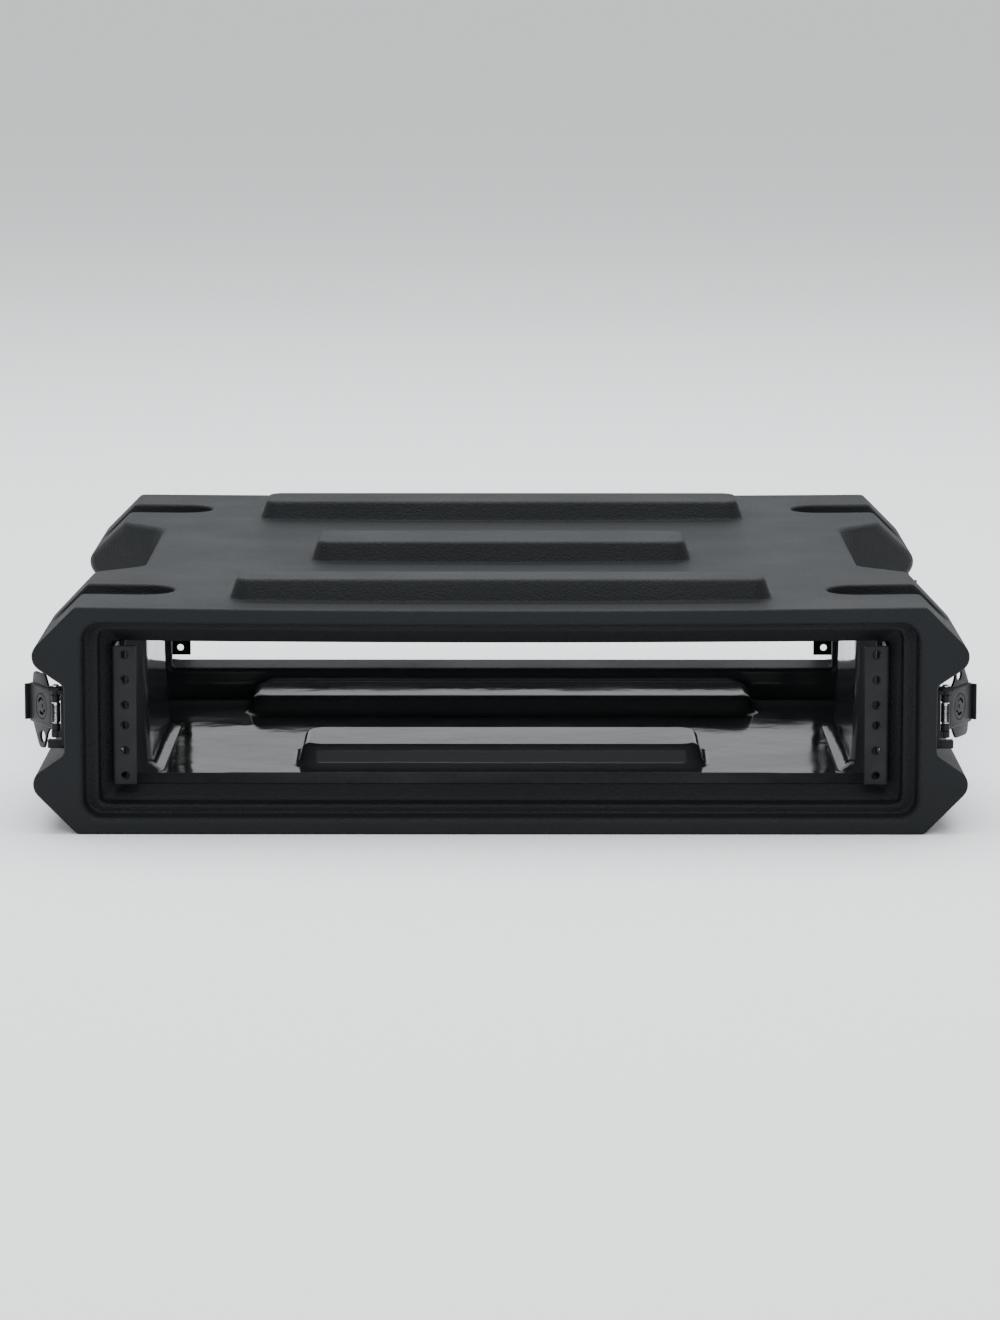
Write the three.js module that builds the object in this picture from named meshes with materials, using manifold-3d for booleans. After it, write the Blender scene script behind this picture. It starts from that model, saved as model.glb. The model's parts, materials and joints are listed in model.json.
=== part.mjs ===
// Rotationally moulded two-unit 19-inch rack case body, open at both ends, without its lids.
// Millimetres. X runs across the width, Y from the front (-Y) to the back (+Y), Z up.
// The origin is the centre of the base plane that the case stands on.
import * as THREE from 'three';
import { mergeVertices } from 'three/addons/utils/BufferGeometryUtils.js';
import Module from 'manifold-3d';

const wasm = await Module();
wasm.setup();

// ---- Driving dimensions ----
const HEIGHT = 142;               // base plane to top plane
const DEPTH = 508;                // front rim to rear rim
const WALL = 5;                   // moulded wall
const GAP = 0.3;                  // running clearance between pieces
const MID_Z = HEIGHT / 2;
const HALF_DEPTH = DEPTH / 2;

// Lower right quarter of the end outline, as [x, z, radius] of each sharp corner and its rounding.
const CHANNEL_X = 268.4;          // floor of the channel between the two side rails
const END_QUARTER = [
  [261, 0, 7],                    // base plane to the chamfer
  [293.4, 32.6, 9.8],             // nose of the lower side rail
  [CHANNEL_X, 49.4, 4],           // side rail to channel floor
];

// Stepped rims: [half width, lowest z, highest z, corner radius], with depths from each end face.
const RIM_OUTER = [256.5, 10.5, 131.5, 11];
const RIM_LEDGE = [247.5, 17, 125, 8];
const CREST = [235.5, 26, 116, 6];
const RIM_OUTER_DEPTH = 14;
const LEDGE_DEPTH = 24;
const CREST_FRONT_DEPTH = 32;
const CREST_BACK_DEPTH = 67;

// Ribs across the top, and the recesses below that take the ribs of the case underneath.
// Depths are from the front face.
const RIB_HEIGHT = 12;
const DRAFT = 4;
const RIB_CORNER = 12;
const TOP_RIBS = [
  { half: 168, from: 30.5, to: 71, hollow: false },
  { half: 124, from: 189, to: 248, hollow: true },
  { half: 168, from: 379, to: 432, hollow: true },
];
const STACKING_RECESSES = [
  { half: 173, from: 28, to: 98, depth: 15 },
  { half: 130, from: 186, to: 252, depth: 15 },
  { half: 174, from: 375, to: 436, depth: 12.8 },
];

// Handle recesses in the middle of both sides, and the shallow flutes near the top corners.
const HANDLE_FLOOR_X = 236.4;
const HANDLE_OUTER_X = 300;
const HANDLE_INNER_HALF = 82;
const HANDLE_SLOPE = 0.9;         // how far each end wall opens for each millimetre outwards
const HANDLE_FILLET = 22;
const HANDLE_END_INSET = 0.45;    // how far each end wall's corner moves for each millimetre of wall
const FLUTE_INNER_X = 205;
const FLUTE_WIDTH = 38;
const FLUTE_DEPTH = 8;
const FLUTE_FROM_END = 54;
const FLUTE_LOWEST_FROM_TOP = 22;
const FLUTE_ROUNDNESS = 0.98;     // share of the half width that the inner end's rounding takes

// Rack rails to EIA-310: two units of 44.45 mm, hole rows 465.1 mm apart.
const UNIT = 44.45;
const RACK_HOLE_X = 465.1 / 2;
const RACK_HOLE_STEPS = [6.35, 22.225, 38.1];   // hole heights within one unit
const RACK_HOLE_R = 2.4;
const RAIL_HEIGHT = 87;
const RAIL_INNER_X = 225.2;
const RAIL_OUTER_X = 240.3;
const RAIL_THICK = 2;
const RAIL_FACE_DEPTH = 20;
const RAIL_LEG_END = 56;
const BOLT_DEPTH = 42;
const BOLT_OFFSET_Z = 24;
const BOLT_R = 2.5;
const BOLT_END_X = 256;
const BOLT_HEAD_R = 4.6;
const BOLT_HEAD_HEIGHT = 2.6;
const boltHeights = [MID_Z - BOLT_OFFSET_Z, MID_Z + BOLT_OFFSET_Z];

// Latches: hinge pin upright beside each end face, on the channel floor.
const LATCH_HINGE_X = 274.5;
const LATCH_HINGE_DEPTH = 14;
const LATCH_Z = 74;
const LATCH_OPEN_ANGLE = 30;      // open flap against the channel floor, degrees
const LATCH_WALL_X = CHANNEL_X + GAP - LATCH_HINGE_X;   // back of the base plate, from the hinge
const BASE_THICK = 1.8;
const BASE_PLATE = { near: -6, far: 30, low: -22.1, high: 16.2, corner: 3 };
const BASE_FOOT_TOP = -17;        // block below the lower knuckle
const BASE_HEAD_LOW = 13.8;       // block above the upper knuckle's middle
const BASE_BLOCK_FRONT = 5;
const KNUCKLE_R = 2.9;
const FLAP_KNUCKLE = [7, 11];     // from and to, above and below the hinge's middle
const BASE_KNUCKLE = [11.3, 15.5];
const PIN_R = 1.2;
const PIN_HEAD_R = 2.2;
const FLAP_START = 4.6;
const FLAP_LENGTH = 37.5;
const FLAP_HALF_HEIGHT = 12.3;
const FLAP_CORNER = 1.5;
const FLAP_OUTER = -3.2;
const FLAP_INNER = 1.2;
const FLAP_Z_SHIFT = 1;           // flap's middle above the hinge's middle
const SLOT_LOW = -1.6;            // guide slot for the draw hook, through the flap's thickness
const SLOT_HIGH = 0.2;
const SLOT_HALF_HEIGHT = 9.4;
const LONG_EAR = 27;
const SHORT_EAR = 20;
const EAR_PLATE = [-1.8, -0.2];    // the ears' back and front faces
const PADLOCK_U = 21;
const PADLOCK_BEYOND = 7.4;       // hole centre, past the flap's edge
const PADLOCK_R = 3.6;
const HOOK_TRAVEL = 6;
const HOOK_HALF_HEIGHT = 9;
const HOOK_LIP = { near: 37.8, far: 39.5, depth: 3.6, halfHeight: 11.3 };
const TURN_U = 19;                // thumb-turn centre, measured from the hinge along the flap
const DISC_R = 7.8;
const SPINDLE_R = 3;
const WING_HALF = [10.5, 5.5];
const WING_CORNER = 3;
const WING_REACH = 2;             // wing's outer face from the flap's
const WING_RIB = { half: 9, halfWidth: 1.1, from: 1.5, to: 4.4 };
const TURN_SLOT = { offset: 4.9, halfWidth: 0.8, halfLength: 4, shift: 1 };
const LATCH_SPRING = { radius: 2.2, length: 11.2, turns: 6, wire: 0.45 };
const RIVET_R = 1.6;
const RIVET_HEAD_R = 3.2;
const LATCH_RIVET_DEPTH = 31;
const latchRivetHeights = [LATCH_Z - 15, LATCH_Z + 14];

// Handles: sprung bails that hang in the side recesses.
const HANDLE_PIVOT_X = 250.4;
const HANDLE_PIVOT_Z = 96;
const PLATE_THICK = 2;
const PLATE_HALF = 64;
const PLATE_LOW_Z = 36;
const EAR_FROM = 50;
const EAR_TO = 53;
const EAR_REACH = 6.5;            // ear material around the pivot
const EAR_ROOT_HALF = 9;
const EAR_TIP_HALF = 6;
const EAR_CORNER = 5;
const PLATE_ABOVE_PIVOT = 10;
const PLATE_CORNER = 8;
const BAIL_R = 3.5;
const BAIL_DROP = 42;
const BAIL_HALF = 42;
const BAIL_BEND = 9;
const GRIP_R = 9.5;
const GRIP_HALF = 32;
const HANDLE_SPRING = { radius: 5.1, length: 3.2, turns: 3, wire: 0.6, offset: 2.6 };
const HANDLE_RIVET_Z = 46;
const handleRivetPlaces = [-54, 54];

// ---- Materials ----
function material(color, roughness, metalness) {
  return new THREE.MeshStandardMaterial({ color, roughness, metalness });
}
const SHELL_MATERIAL = material(0x24272a, 0.6, 0);
const RAIL_MATERIAL = material(0x1c1e20, 0.5, 0.2);
const LATCH_MATERIAL = material(0x2b3033, 0.45, 0.4);
const STEEL_MATERIAL = material(0xb9bec2, 0.3, 0.9);
const RUBBER_MATERIAL = material(0x141516, 0.85, 0);

// ---- Geometry helpers ----
function toSolid(geometry) {
  const plain = geometry.clone();
  plain.deleteAttribute('normal');
  plain.deleteAttribute('uv');
  const merged = mergeVertices(plain, 1e-4);
  return new wasm.Manifold(new wasm.Mesh({
    numProp: 3,
    vertProperties: new Float32Array(merged.attributes.position.array),
    triVerts: new Uint32Array(merged.index.array),
  }));
}

function toGeometry(solid) {
  const mesh = solid.getMesh();
  const geometry = new THREE.BufferGeometry();
  geometry.setAttribute('position', new THREE.BufferAttribute(new Float32Array(mesh.vertProperties), 3));
  geometry.setIndex(new THREE.BufferAttribute(new Uint32Array(mesh.triVerts), 1));
  return geometry;
}

// The corners [x, y, radius] of a counter-clockwise outline, moved inwards by a distance.
function inset(outline, distance) {
  const smallest = 3;
  return outline.map(([x, y, radius], i) => {
    const before = outline.at(i - 1);
    const after = outline[(i + 1) % outline.length];
    const arriving = new THREE.Vector2(x - before[0], y - before[1]).normalize();
    const leaving = new THREE.Vector2(after[0] - x, after[1] - y).normalize();
    const inward = new THREE.Vector2(-arriving.y - leaving.y, arriving.x + leaving.x);
    inward.multiplyScalar(distance / (1 + arriving.dot(leaving)));
    const convex = arriving.cross(leaving) > 0;
    const rounding = convex ? Math.max(radius - distance, Math.min(radius, smallest)) : radius + distance;
    return [x + inward.x, y + inward.y, rounding];
  });
}

// Points of a closed outline whose corners [x, y, radius] are rounded with arcs.
function roundedOutline(corners, steps) {
  const points = [];
  corners.forEach(([x, y, radius], i) => {
    const corner = new THREE.Vector2(x, y);
    if (!radius) {
      points.push(corner);
      return;
    }
    const before = corners[(i + corners.length - 1) % corners.length];
    const after = corners[(i + 1) % corners.length];
    const toBefore = new THREE.Vector2(before[0] - x, before[1] - y).normalize();
    const toAfter = new THREE.Vector2(after[0] - x, after[1] - y).normalize();
    const half = Math.acos(toBefore.dot(toAfter)) / 2;
    const centre = toBefore.clone().add(toAfter).normalize()
      .multiplyScalar(radius / Math.sin(half)).add(corner);
    const start = toBefore.clone().multiplyScalar(radius / Math.tan(half)).add(corner).sub(centre);
    const end = toAfter.clone().multiplyScalar(radius / Math.tan(half)).add(corner).sub(centre);
    const turn = Math.atan2(start.cross(end), start.dot(end));
    for (let k = 0; k <= steps; k += 1) {
      points.push(start.clone().rotateAround(new THREE.Vector2(), (turn * k) / steps).add(centre));
    }
  });
  return points;
}

function rectangle(x0, x1, y0, y1, radius = 0, steps = 2) {
  return roundedOutline([[x0, y0, radius], [x1, y0, radius], [x1, y1, radius], [x0, y1, radius]], steps);
}

function circle(x, y, radius, sides = 12) {
  return Array.from({ length: sides }, (_, i) => {
    const angle = (2 * Math.PI * (i + 0.5)) / sides;
    return new THREE.Vector2(x + radius * Math.cos(angle), y + radius * Math.sin(angle));
  });
}

function extrude(outline, length, holes = []) {
  const shape = new THREE.Shape(outline);
  holes.forEach((hole) => shape.holes.push(new THREE.Path(hole)));
  return new THREE.ExtrudeGeometry(shape, { depth: length, bevelEnabled: false });
}

// An outline in X and Z, carried along Y.
function prismY(outline, y0, y1, holes = []) {
  return extrude(outline, y1 - y0, holes).rotateX(Math.PI / 2).translate(0, y1, 0);
}

// An outline in X and Y, carried along Z.
function prismZ(outline, z0, z1, holes = []) {
  return extrude(outline, z1 - z0, holes).translate(0, 0, z0);
}

// An outline in Y and Z, carried along X.
function prismX(outline, x0, x1, holes = []) {
  const turn = new THREE.Matrix4().makeBasis(
    new THREE.Vector3(0, 1, 0),
    new THREE.Vector3(0, 0, 1),
    new THREE.Vector3(1, 0, 0),
  );
  return extrude(outline, x1 - x0, holes).applyMatrix4(turn).translate(x0, 0, 0);
}

function box(x0, x1, y0, y1, z0, z1) {
  return new THREE.BoxGeometry(x1 - x0, y1 - y0, z1 - z0)
    .translate((x0 + x1) / 2, (y0 + y1) / 2, (z0 + z1) / 2);
}

// A solid between two convex outlines with the same number of points, each at its own level.
function loftZ(lower, z0, upper, z1) {
  const count = lower.length;
  const positions = [];
  lower.forEach((p) => positions.push(p.x, p.y, z0));
  upper.forEach((p) => positions.push(p.x, p.y, z1));
  const index = [];
  for (let i = 0; i < count; i += 1) {
    const next = (i + 1) % count;
    index.push(i, next, count + next, i, count + next, count + i);
    if (i > 0 && i < count - 1) {
      index.push(0, next, i, count, count + i, count + next);
    }
  }
  const geometry = new THREE.BufferGeometry();
  geometry.setAttribute('position', new THREE.Float32BufferAttribute(positions, 3));
  geometry.setIndex(index);
  return geometry;
}

// The same loft stood up, so that its outlines are in X and Z and its levels are along Y.
function loftY(near, y0, far, y1) {
  return loftZ(far, -y1, near, -y0).rotateX(Math.PI / 2);
}

function cylinder(axis, radius, from, to, a, b, sides = 12) {
  if (axis === 'x') return prismX(circle(a, b, radius, sides), from, to);
  if (axis === 'y') return prismY(circle(a, b, radius, sides), from, to);
  return prismZ(circle(a, b, radius, sides), from, to);
}

function join(geometries) {
  return geometries.map(toSolid).reduce((sum, solid) => sum.add(solid));
}

function cut(solid, geometries) {
  return geometries.map(toSolid).reduce((rest, tool) => rest.subtract(tool), solid);
}

const depthToY = (depth) => depth - HALF_DEPTH;
const mirrored = [1, -1];
const ascending = (a, b) => a - b;
const PAST = 1;                   // how far a cutting tool runs past the face that it cuts

// ---- Shell ----
// The end outline moved inwards by a distance: one quarter, mirrored up, then mirrored left.
function endOutline(distance, steps) {
  const upper = END_QUARTER.map(([x, z, radius]) => [x, HEIGHT - z, radius]).reverse();
  const right = [...END_QUARTER, ...upper];
  const left = right.map(([x, z, radius]) => [-x, z, radius]).reverse();
  return roundedOutline(inset([...right, ...left], distance), steps);
}

function rimOutline([half, low, high, radius]) {
  return rectangle(-half, half, low, high, radius, 3);
}

// The way in from one end: two steps, a sloping front on the crest, then the crest itself.
function mouth() {
  const levels = [0, RIM_OUTER_DEPTH, LEDGE_DEPTH, CREST_FRONT_DEPTH, CREST_BACK_DEPTH].map(depthToY);
  const lap = 0.05;               // the ledge runs this far into the slope behind it
  return [
    prismY(rimOutline(RIM_OUTER), levels[0] - PAST, levels[1]),
    prismY(rimOutline(RIM_LEDGE), levels[1] - PAST, levels[2] + lap),
    loftY(rimOutline(RIM_LEDGE), levels[2], rimOutline(CREST), levels[3]),
    prismY(rimOutline(CREST), levels[3] - PAST, levels[4] + PAST),
  ];
}

// A drafted block lying across the case, wider at its root.
function crossBlock(half, from, to, rootZ, tipZ, grow) {
  const root = rectangle(-half - grow, half + grow, depthToY(from) - grow, depthToY(to) + grow, RIB_CORNER);
  const tip = rectangle(
    DRAFT - half - grow,
    half + grow - DRAFT,
    depthToY(from) - grow + DRAFT,
    depthToY(to) + grow - DRAFT,
    RIB_CORNER,
  );
  return tipZ > rootZ ? loftZ(root, rootZ, tip, tipZ) : loftZ(tip, tipZ, root, rootZ);
}

// An outline drawn for the right side, or its mirror image for the left side.
function onSide(side, outline) {
  return side > 0 ? outline : outline.map((p) => new THREE.Vector2(-p.x, p.y)).reverse();
}

function handleRecess(side, wall) {
  const floor = HANDLE_FLOOR_X - wall;
  const inner = HANDLE_INNER_HALF + wall * HANDLE_END_INSET;
  const outer = inner + (HANDLE_OUTER_X - floor) * HANDLE_SLOPE;
  return onSide(side, roundedOutline([
    [floor, -inner, HANDLE_FILLET],
    [HANDLE_OUTER_X, -outer, 0],
    [HANDLE_OUTER_X, outer, 0],
    [floor, inner, HANDLE_FILLET],
  ], 3));
}

// A round-ended groove near one corner, cut to an even depth below the top plane and the chamfer.
function flute(side, end, wall) {
  const middle = (HALF_DEPTH - FLUTE_FROM_END - FLUTE_WIDTH / 2) * end;
  const radius = FLUTE_WIDTH / 2 + wall;
  const plan = onSide(side, roundedOutline([
    [FLUTE_INNER_X - wall, middle - radius, radius * FLUTE_ROUNDNESS],
    [HANDLE_OUTER_X, middle - radius, 0],
    [HANDLE_OUTER_X, middle + radius, 0],
    [FLUTE_INNER_X - wall, middle + radius, radius * FLUTE_ROUNDNESS],
  ], 2));
  const block = prismZ(plan, HEIGHT - FLUTE_LOWEST_FROM_TOP - wall, HEIGHT + PAST);
  const kept = prismY(endOutline(FLUTE_DEPTH + wall, 1), -HALF_DEPTH - PAST, HALF_DEPTH + PAST);
  return toSolid(block).subtract(toSolid(kept));
}

function flutes(wall) {
  return mirrored.flatMap((side) => mirrored.map((end) => flute(side, end, wall)));
}

function chamber() {
  const y = HALF_DEPTH - CREST_BACK_DEPTH;
  const full = toSolid(prismY(endOutline(WALL, 2), -y, y));
  const kept = [
    ...mirrored.map((side) => toSolid(prismZ(handleRecess(side, WALL), -PAST, HEIGHT + PAST))),
    ...flutes(WALL),
    ...STACKING_RECESSES.map(({ half, from, to, depth }) => (
      toSolid(crossBlock(half, from, to, -PAST, depth + WALL, WALL))
    )),
  ];
  const ribHollows = TOP_RIBS.filter((rib) => rib.hollow).map(({ half, from, to }) => (
    toSolid(crossBlock(half, from, to, HEIGHT - WALL - PAST, HEIGHT + RIB_HEIGHT - WALL, -WALL))
  ));
  const hollow = kept.reduce((rest, wall) => rest.subtract(wall), full);
  return ribHollows.reduce((sum, rib) => sum.add(rib), hollow);
}

// Clearance in the crest for one rail's leg.
function railPocket(side) {
  const margin = 1.2;
  const [x0, x1] = [side * (CREST[0] - PAST), side * (RAIL_OUTER_X + GAP)].sort(ascending);
  const high = MID_Z + RAIL_HEIGHT / 2 + margin;
  const [near, far] = [LEDGE_DEPTH, RAIL_LEG_END].map(depthToY);
  return box(x0, x1, near - 2 * PAST, far + 2 * PAST, HEIGHT - high, high);
}

function fastenerHoles() {
  const latchRivetRoom = 12;
  const holes = [];
  const drill = (side, radius, near, far, y, z) => {
    const [from, to] = [side * near, side * far].sort(ascending);
    holes.push(cylinder('x', radius + GAP, from, to, y, z));
  };
  mirrored.forEach((side) => {
    mirrored.forEach((end) => {
      boltHeights.forEach((z) => {
        drill(side, BOLT_R, RAIL_OUTER_X - PAST, BOLT_END_X + PAST, depthToY(BOLT_DEPTH) * end, z);
      });
      latchRivetHeights.forEach((z) => {
        const y = depthToY(LATCH_RIVET_DEPTH) * end;
        drill(side, RIVET_R, CHANNEL_X - latchRivetRoom, CHANNEL_X + PAST, y, z);
      });
    });
    handleRivetPlaces.forEach((y) => {
      drill(side, RIVET_R, HANDLE_FLOOR_X - WALL - PAST, HANDLE_FLOOR_X + PAST, y, HANDLE_RIVET_Z);
    });
  });
  return holes;
}

function turnedAround(geometry) {
  return geometry.clone().rotateZ(Math.PI);
}

function shell() {
  const block = prismY(endOutline(0, 3), -HALF_DEPTH, HALF_DEPTH);
  const ribs = TOP_RIBS.map(({ half, from, to }) => (
    crossBlock(half, from, to, HEIGHT - PAST, HEIGHT + RIB_HEIGHT, 0)
  ));
  const recesses = STACKING_RECESSES.map(({ half, from, to, depth }) => (
    crossBlock(half, from, to, -PAST, depth, 0)
  ));
  const handleSpaces = mirrored.map((side) => prismZ(handleRecess(side, 0), -PAST, HEIGHT + PAST));
  const openings = [...mouth(), ...mirrored.map(railPocket)];
  const outside = flutes(0).reduce(
    (rest, groove) => rest.subtract(groove),
    cut(join([block, ...ribs]), [...recesses, ...handleSpaces]),
  );
  return cut(outside.subtract(chamber()), [
    ...openings,
    ...openings.map(turnedAround),
    ...fastenerHoles(),
  ]);
}

// ---- Rack rails and their bolts, made for the front right corner ----
function rackRail() {
  const low = MID_Z - RAIL_HEIGHT / 2;
  const high = MID_Z + RAIL_HEIGHT / 2;
  const face = depthToY(RAIL_FACE_DEPTH);
  const section = [
    new THREE.Vector2(RAIL_INNER_X, face),
    new THREE.Vector2(RAIL_OUTER_X, face),
    new THREE.Vector2(RAIL_OUTER_X, depthToY(RAIL_LEG_END)),
    new THREE.Vector2(RAIL_OUTER_X - RAIL_THICK, depthToY(RAIL_LEG_END)),
    new THREE.Vector2(RAIL_OUTER_X - RAIL_THICK, face + RAIL_THICK),
    new THREE.Vector2(RAIL_INNER_X, face + RAIL_THICK),
  ];
  const holes = [];
  mirrored.forEach((unit) => {
    RACK_HOLE_STEPS.forEach((step) => {
      const z = MID_Z - (unit > 0 ? 0 : UNIT) + step;
      holes.push(cylinder('y', RACK_HOLE_R, face - PAST, face + RAIL_THICK + PAST, RACK_HOLE_X, z, 10));
    });
  });
  boltHeights.forEach((z) => {
    const inside = RAIL_OUTER_X - RAIL_THICK;
    const y = depthToY(BOLT_DEPTH);
    holes.push(cylinder('x', BOLT_R + GAP, inside - PAST, RAIL_OUTER_X + PAST, y, z));
  });
  return cut(toSolid(prismZ(section, low, high)), holes);
}

// Button-headed bolt along +X, with the underside of its head at the origin.
function railBolt() {
  const length = BOLT_END_X - RAIL_OUTER_X + RAIL_THICK + GAP;
  const profile = [
    new THREE.Vector2(0, -BOLT_HEAD_HEIGHT),
    new THREE.Vector2(BOLT_HEAD_R * 0.55, -BOLT_HEAD_HEIGHT),
    new THREE.Vector2(BOLT_HEAD_R * 0.9, -BOLT_HEAD_HEIGHT * 0.55),
    new THREE.Vector2(BOLT_HEAD_R, 0),
    new THREE.Vector2(BOLT_R, 0),
    new THREE.Vector2(BOLT_R, length),
    new THREE.Vector2(0, length),
  ];
  return toSolid(new THREE.LatheGeometry(profile, 12).rotateZ(-Math.PI / 2));
}

// ---- Latch, made for the front right corner and placed with its hinge axis at the origin ----
// In the flap's own axes, +Y runs along the flap away from the hinge and +X is its inner face.
function knuckle([near, far], side) {
  const [z0, z1] = [side * near, side * far].sort(ascending);
  return { z0, z1, barrel: cylinder('z', KNUCKLE_R, z0, z1, 0, 0) };
}

function latchBase() {
  const { near, far, low, high, corner } = BASE_PLATE;
  const front = LATCH_WALL_X + BASE_THICK;
  const pieces = [
    prismX(rectangle(near, far, low, high, corner), LATCH_WALL_X, front),
    box(LATCH_WALL_X + PAST, BASE_BLOCK_FRONT, -KNUCKLE_R, KNUCKLE_R, low, BASE_FOOT_TOP),
    box(LATCH_WALL_X + PAST, BASE_BLOCK_FRONT, -KNUCKLE_R, KNUCKLE_R, BASE_HEAD_LOW, high),
  ];
  mirrored.forEach((side) => {
    const { z0, z1, barrel } = knuckle(BASE_KNUCKLE, side);
    pieces.push(barrel, box(LATCH_WALL_X, 0, -KNUCKLE_R, KNUCKLE_R, z0, z1));
  });
  const [inner, outer] = BASE_KNUCKLE;
  const rivetY = LATCH_RIVET_DEPTH - LATCH_HINGE_DEPTH;
  return cut(join(pieces), [
    cylinder('z', PIN_R + GAP, -outer - GAP, high + GAP, 0, 0),
    cylinder('z', KNUCKLE_R + GAP, GAP - inner, inner - GAP, 0, 0),
    ...latchRivetHeights.map((z) => (
      cylinder('x', RIVET_R + GAP, LATCH_WALL_X - PAST, front + PAST, rivetY, z - LATCH_Z)
    )),
  ]);
}

function latchPin() {
  const bottom = -BASE_KNUCKLE[1] - GAP;
  const shoulder = BASE_PLATE.high + GAP;
  const headHeight = 1;
  const profile = [
    new THREE.Vector2(0, bottom),
    new THREE.Vector2(PIN_R, bottom),
    new THREE.Vector2(PIN_R, shoulder),
    new THREE.Vector2(PIN_HEAD_R, shoulder),
    new THREE.Vector2(PIN_HEAD_R - GAP, shoulder + headHeight),
    new THREE.Vector2(0, shoulder + headHeight),
  ];
  return toSolid(new THREE.LatheGeometry(profile, 12).rotateX(Math.PI / 2));
}

class Helix extends THREE.Curve {
  constructor(radius, length, turns) {
    super();
    this.radius = radius;
    this.length = length;
    this.turns = turns;
  }

  getPoint(t, target = new THREE.Vector3()) {
    const angle = 2 * Math.PI * this.turns * t;
    return target.set(
      this.radius * Math.cos(angle),
      this.radius * Math.sin(angle),
      this.length * (t - 0.5),
    );
  }
}

function coilSpring({ radius, length, turns, wire }) {
  const section = new THREE.Shape(circle(0, 0, wire, 4));
  const extrudePath = new Helix(radius, length, turns);
  return toSolid(new THREE.ExtrudeGeometry(section, { extrudePath, steps: turns * 7 }));
}

// The plate behind the flap's box: a long ear with a padlock hole, and a short ear.
// The long ear points down, or up where the latch is fitted the other way round.
function earPlate(up) {
  const root = FLAP_HALF_HEIGHT;
  const corners = [
    [9, -root, 0],
    [14, -root - 4, 6],
    [19, -LONG_EAR, 4],
    [26, -LONG_EAR, 4],
    [31, -root - 7, 6],
    [36, -root, 0],
    [36, root, 0],
    [34, SHORT_EAR, 4],
    [17, SHORT_EAR, 4],
    [11, root, 0],
  ];
  const turned = up ? corners.map(([y, z, radius]) => [y, -z, radius]).reverse() : corners;
  const padlockZ = (up ? 1 : -1) * (root + PADLOCK_BEYOND);
  const hole = circle(PADLOCK_U, padlockZ, PADLOCK_R);
  return prismX(roundedOutline(turned, 2), ...EAR_PLATE, [hole]);
}

function latchFlap(up) {
  const half = FLAP_HALF_HEIGHT;
  const pieces = [
    prismX(rectangle(FLAP_START, FLAP_LENGTH, -half, half, FLAP_CORNER), FLAP_OUTER, FLAP_INNER),
    earPlate(up),
  ];
  mirrored.forEach((side) => {
    const { z0, z1, barrel } = knuckle(FLAP_KNUCKLE, side);
    const web = box(-2, 1, 0, FLAP_START + PAST, z0 - FLAP_Z_SHIFT, z1 - FLAP_Z_SHIFT);
    pieces.push(barrel.translate(0, 0, -FLAP_Z_SHIFT), web);
  });
  return cut(join(pieces), [
    cylinder('z', PIN_R + GAP, -half * 2, half * 2, 0, 0),
    box(SLOT_LOW, SLOT_HIGH, 8, FLAP_LENGTH + PAST, -SLOT_HALF_HEIGHT, SLOT_HALF_HEIGHT),
    cylinder('x', DISC_R + GAP, SLOT_LOW, FLAP_INNER + PAST, TURN_U, 0, 16),
    cylinder('x', SPINDLE_R + GAP, FLAP_OUTER - PAST, 0, TURN_U, 0),
  ]);
}

// The sliding draw hook: a plate with a slot around the spindle, and a lip that grips the lid.
function drawHook() {
  const room = SPINDLE_R + GAP;
  const start = 14.6;
  const { near, far, depth, halfHeight } = HOOK_LIP;
  const outline = rectangle(start, far, -HOOK_HALF_HEIGHT, HOOK_HALF_HEIGHT);
  const plate = prismX(outline, SLOT_LOW + GAP, SLOT_HIGH - GAP);
  const lip = box(SLOT_LOW + GAP, depth, near, far, -halfHeight, halfHeight);
  const slot = box(SLOT_LOW, SLOT_HIGH, TURN_U - room - HOOK_TRAVEL, TURN_U + room, -room, room);
  return cut(join([plate, lip]), [slot]);
}

// Disc, spindle and folding wing of the thumb-turn.
function thumbTurn() {
  const discInner = FLAP_INNER - 0.1;
  const [wingY, wingZ] = WING_HALF;
  const wing = rectangle(TURN_U - wingY, TURN_U + wingY, -wingZ, wingZ, WING_CORNER);
  const { half, halfWidth, from, to } = WING_RIB;
  const [ribOuter, ribInner] = [FLAP_OUTER - to, FLAP_OUTER - from];
  const body = join([
    cylinder('x', DISC_R, SLOT_HIGH + GAP, discInner, TURN_U, 0, 16),
    cylinder('x', SPINDLE_R, FLAP_OUTER - PAST, discInner, TURN_U, 0),
    prismX(wing, FLAP_OUTER - WING_REACH, FLAP_OUTER - GAP),
    box(ribOuter, ribInner, TURN_U - half, TURN_U + half, -halfWidth, halfWidth),
  ]);
  const slot = TURN_SLOT;
  const slots = mirrored.map((side) => {
    const y = TURN_U + side * slot.offset;
    const z = -side * slot.shift;
    return box(
      SLOT_HIGH, FLAP_INNER, y - slot.halfWidth, y + slot.halfWidth, z - slot.halfLength, z + slot.halfLength,
    );
  });
  return cut(body, slots);
}

// Domed rivet along -X, with the underside of its head at the origin.
function rivet(grip) {
  const height = 1.5;
  const profile = [
    new THREE.Vector2(0, height),
    new THREE.Vector2(RIVET_HEAD_R * 0.6, height * 0.8),
    new THREE.Vector2(RIVET_HEAD_R, 0),
    new THREE.Vector2(RIVET_R, 0),
    new THREE.Vector2(RIVET_R, -grip),
    new THREE.Vector2(0, -grip),
  ].reverse();
  return toSolid(new THREE.LatheGeometry(profile, 10).rotateZ(-Math.PI / 2));
}

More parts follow.
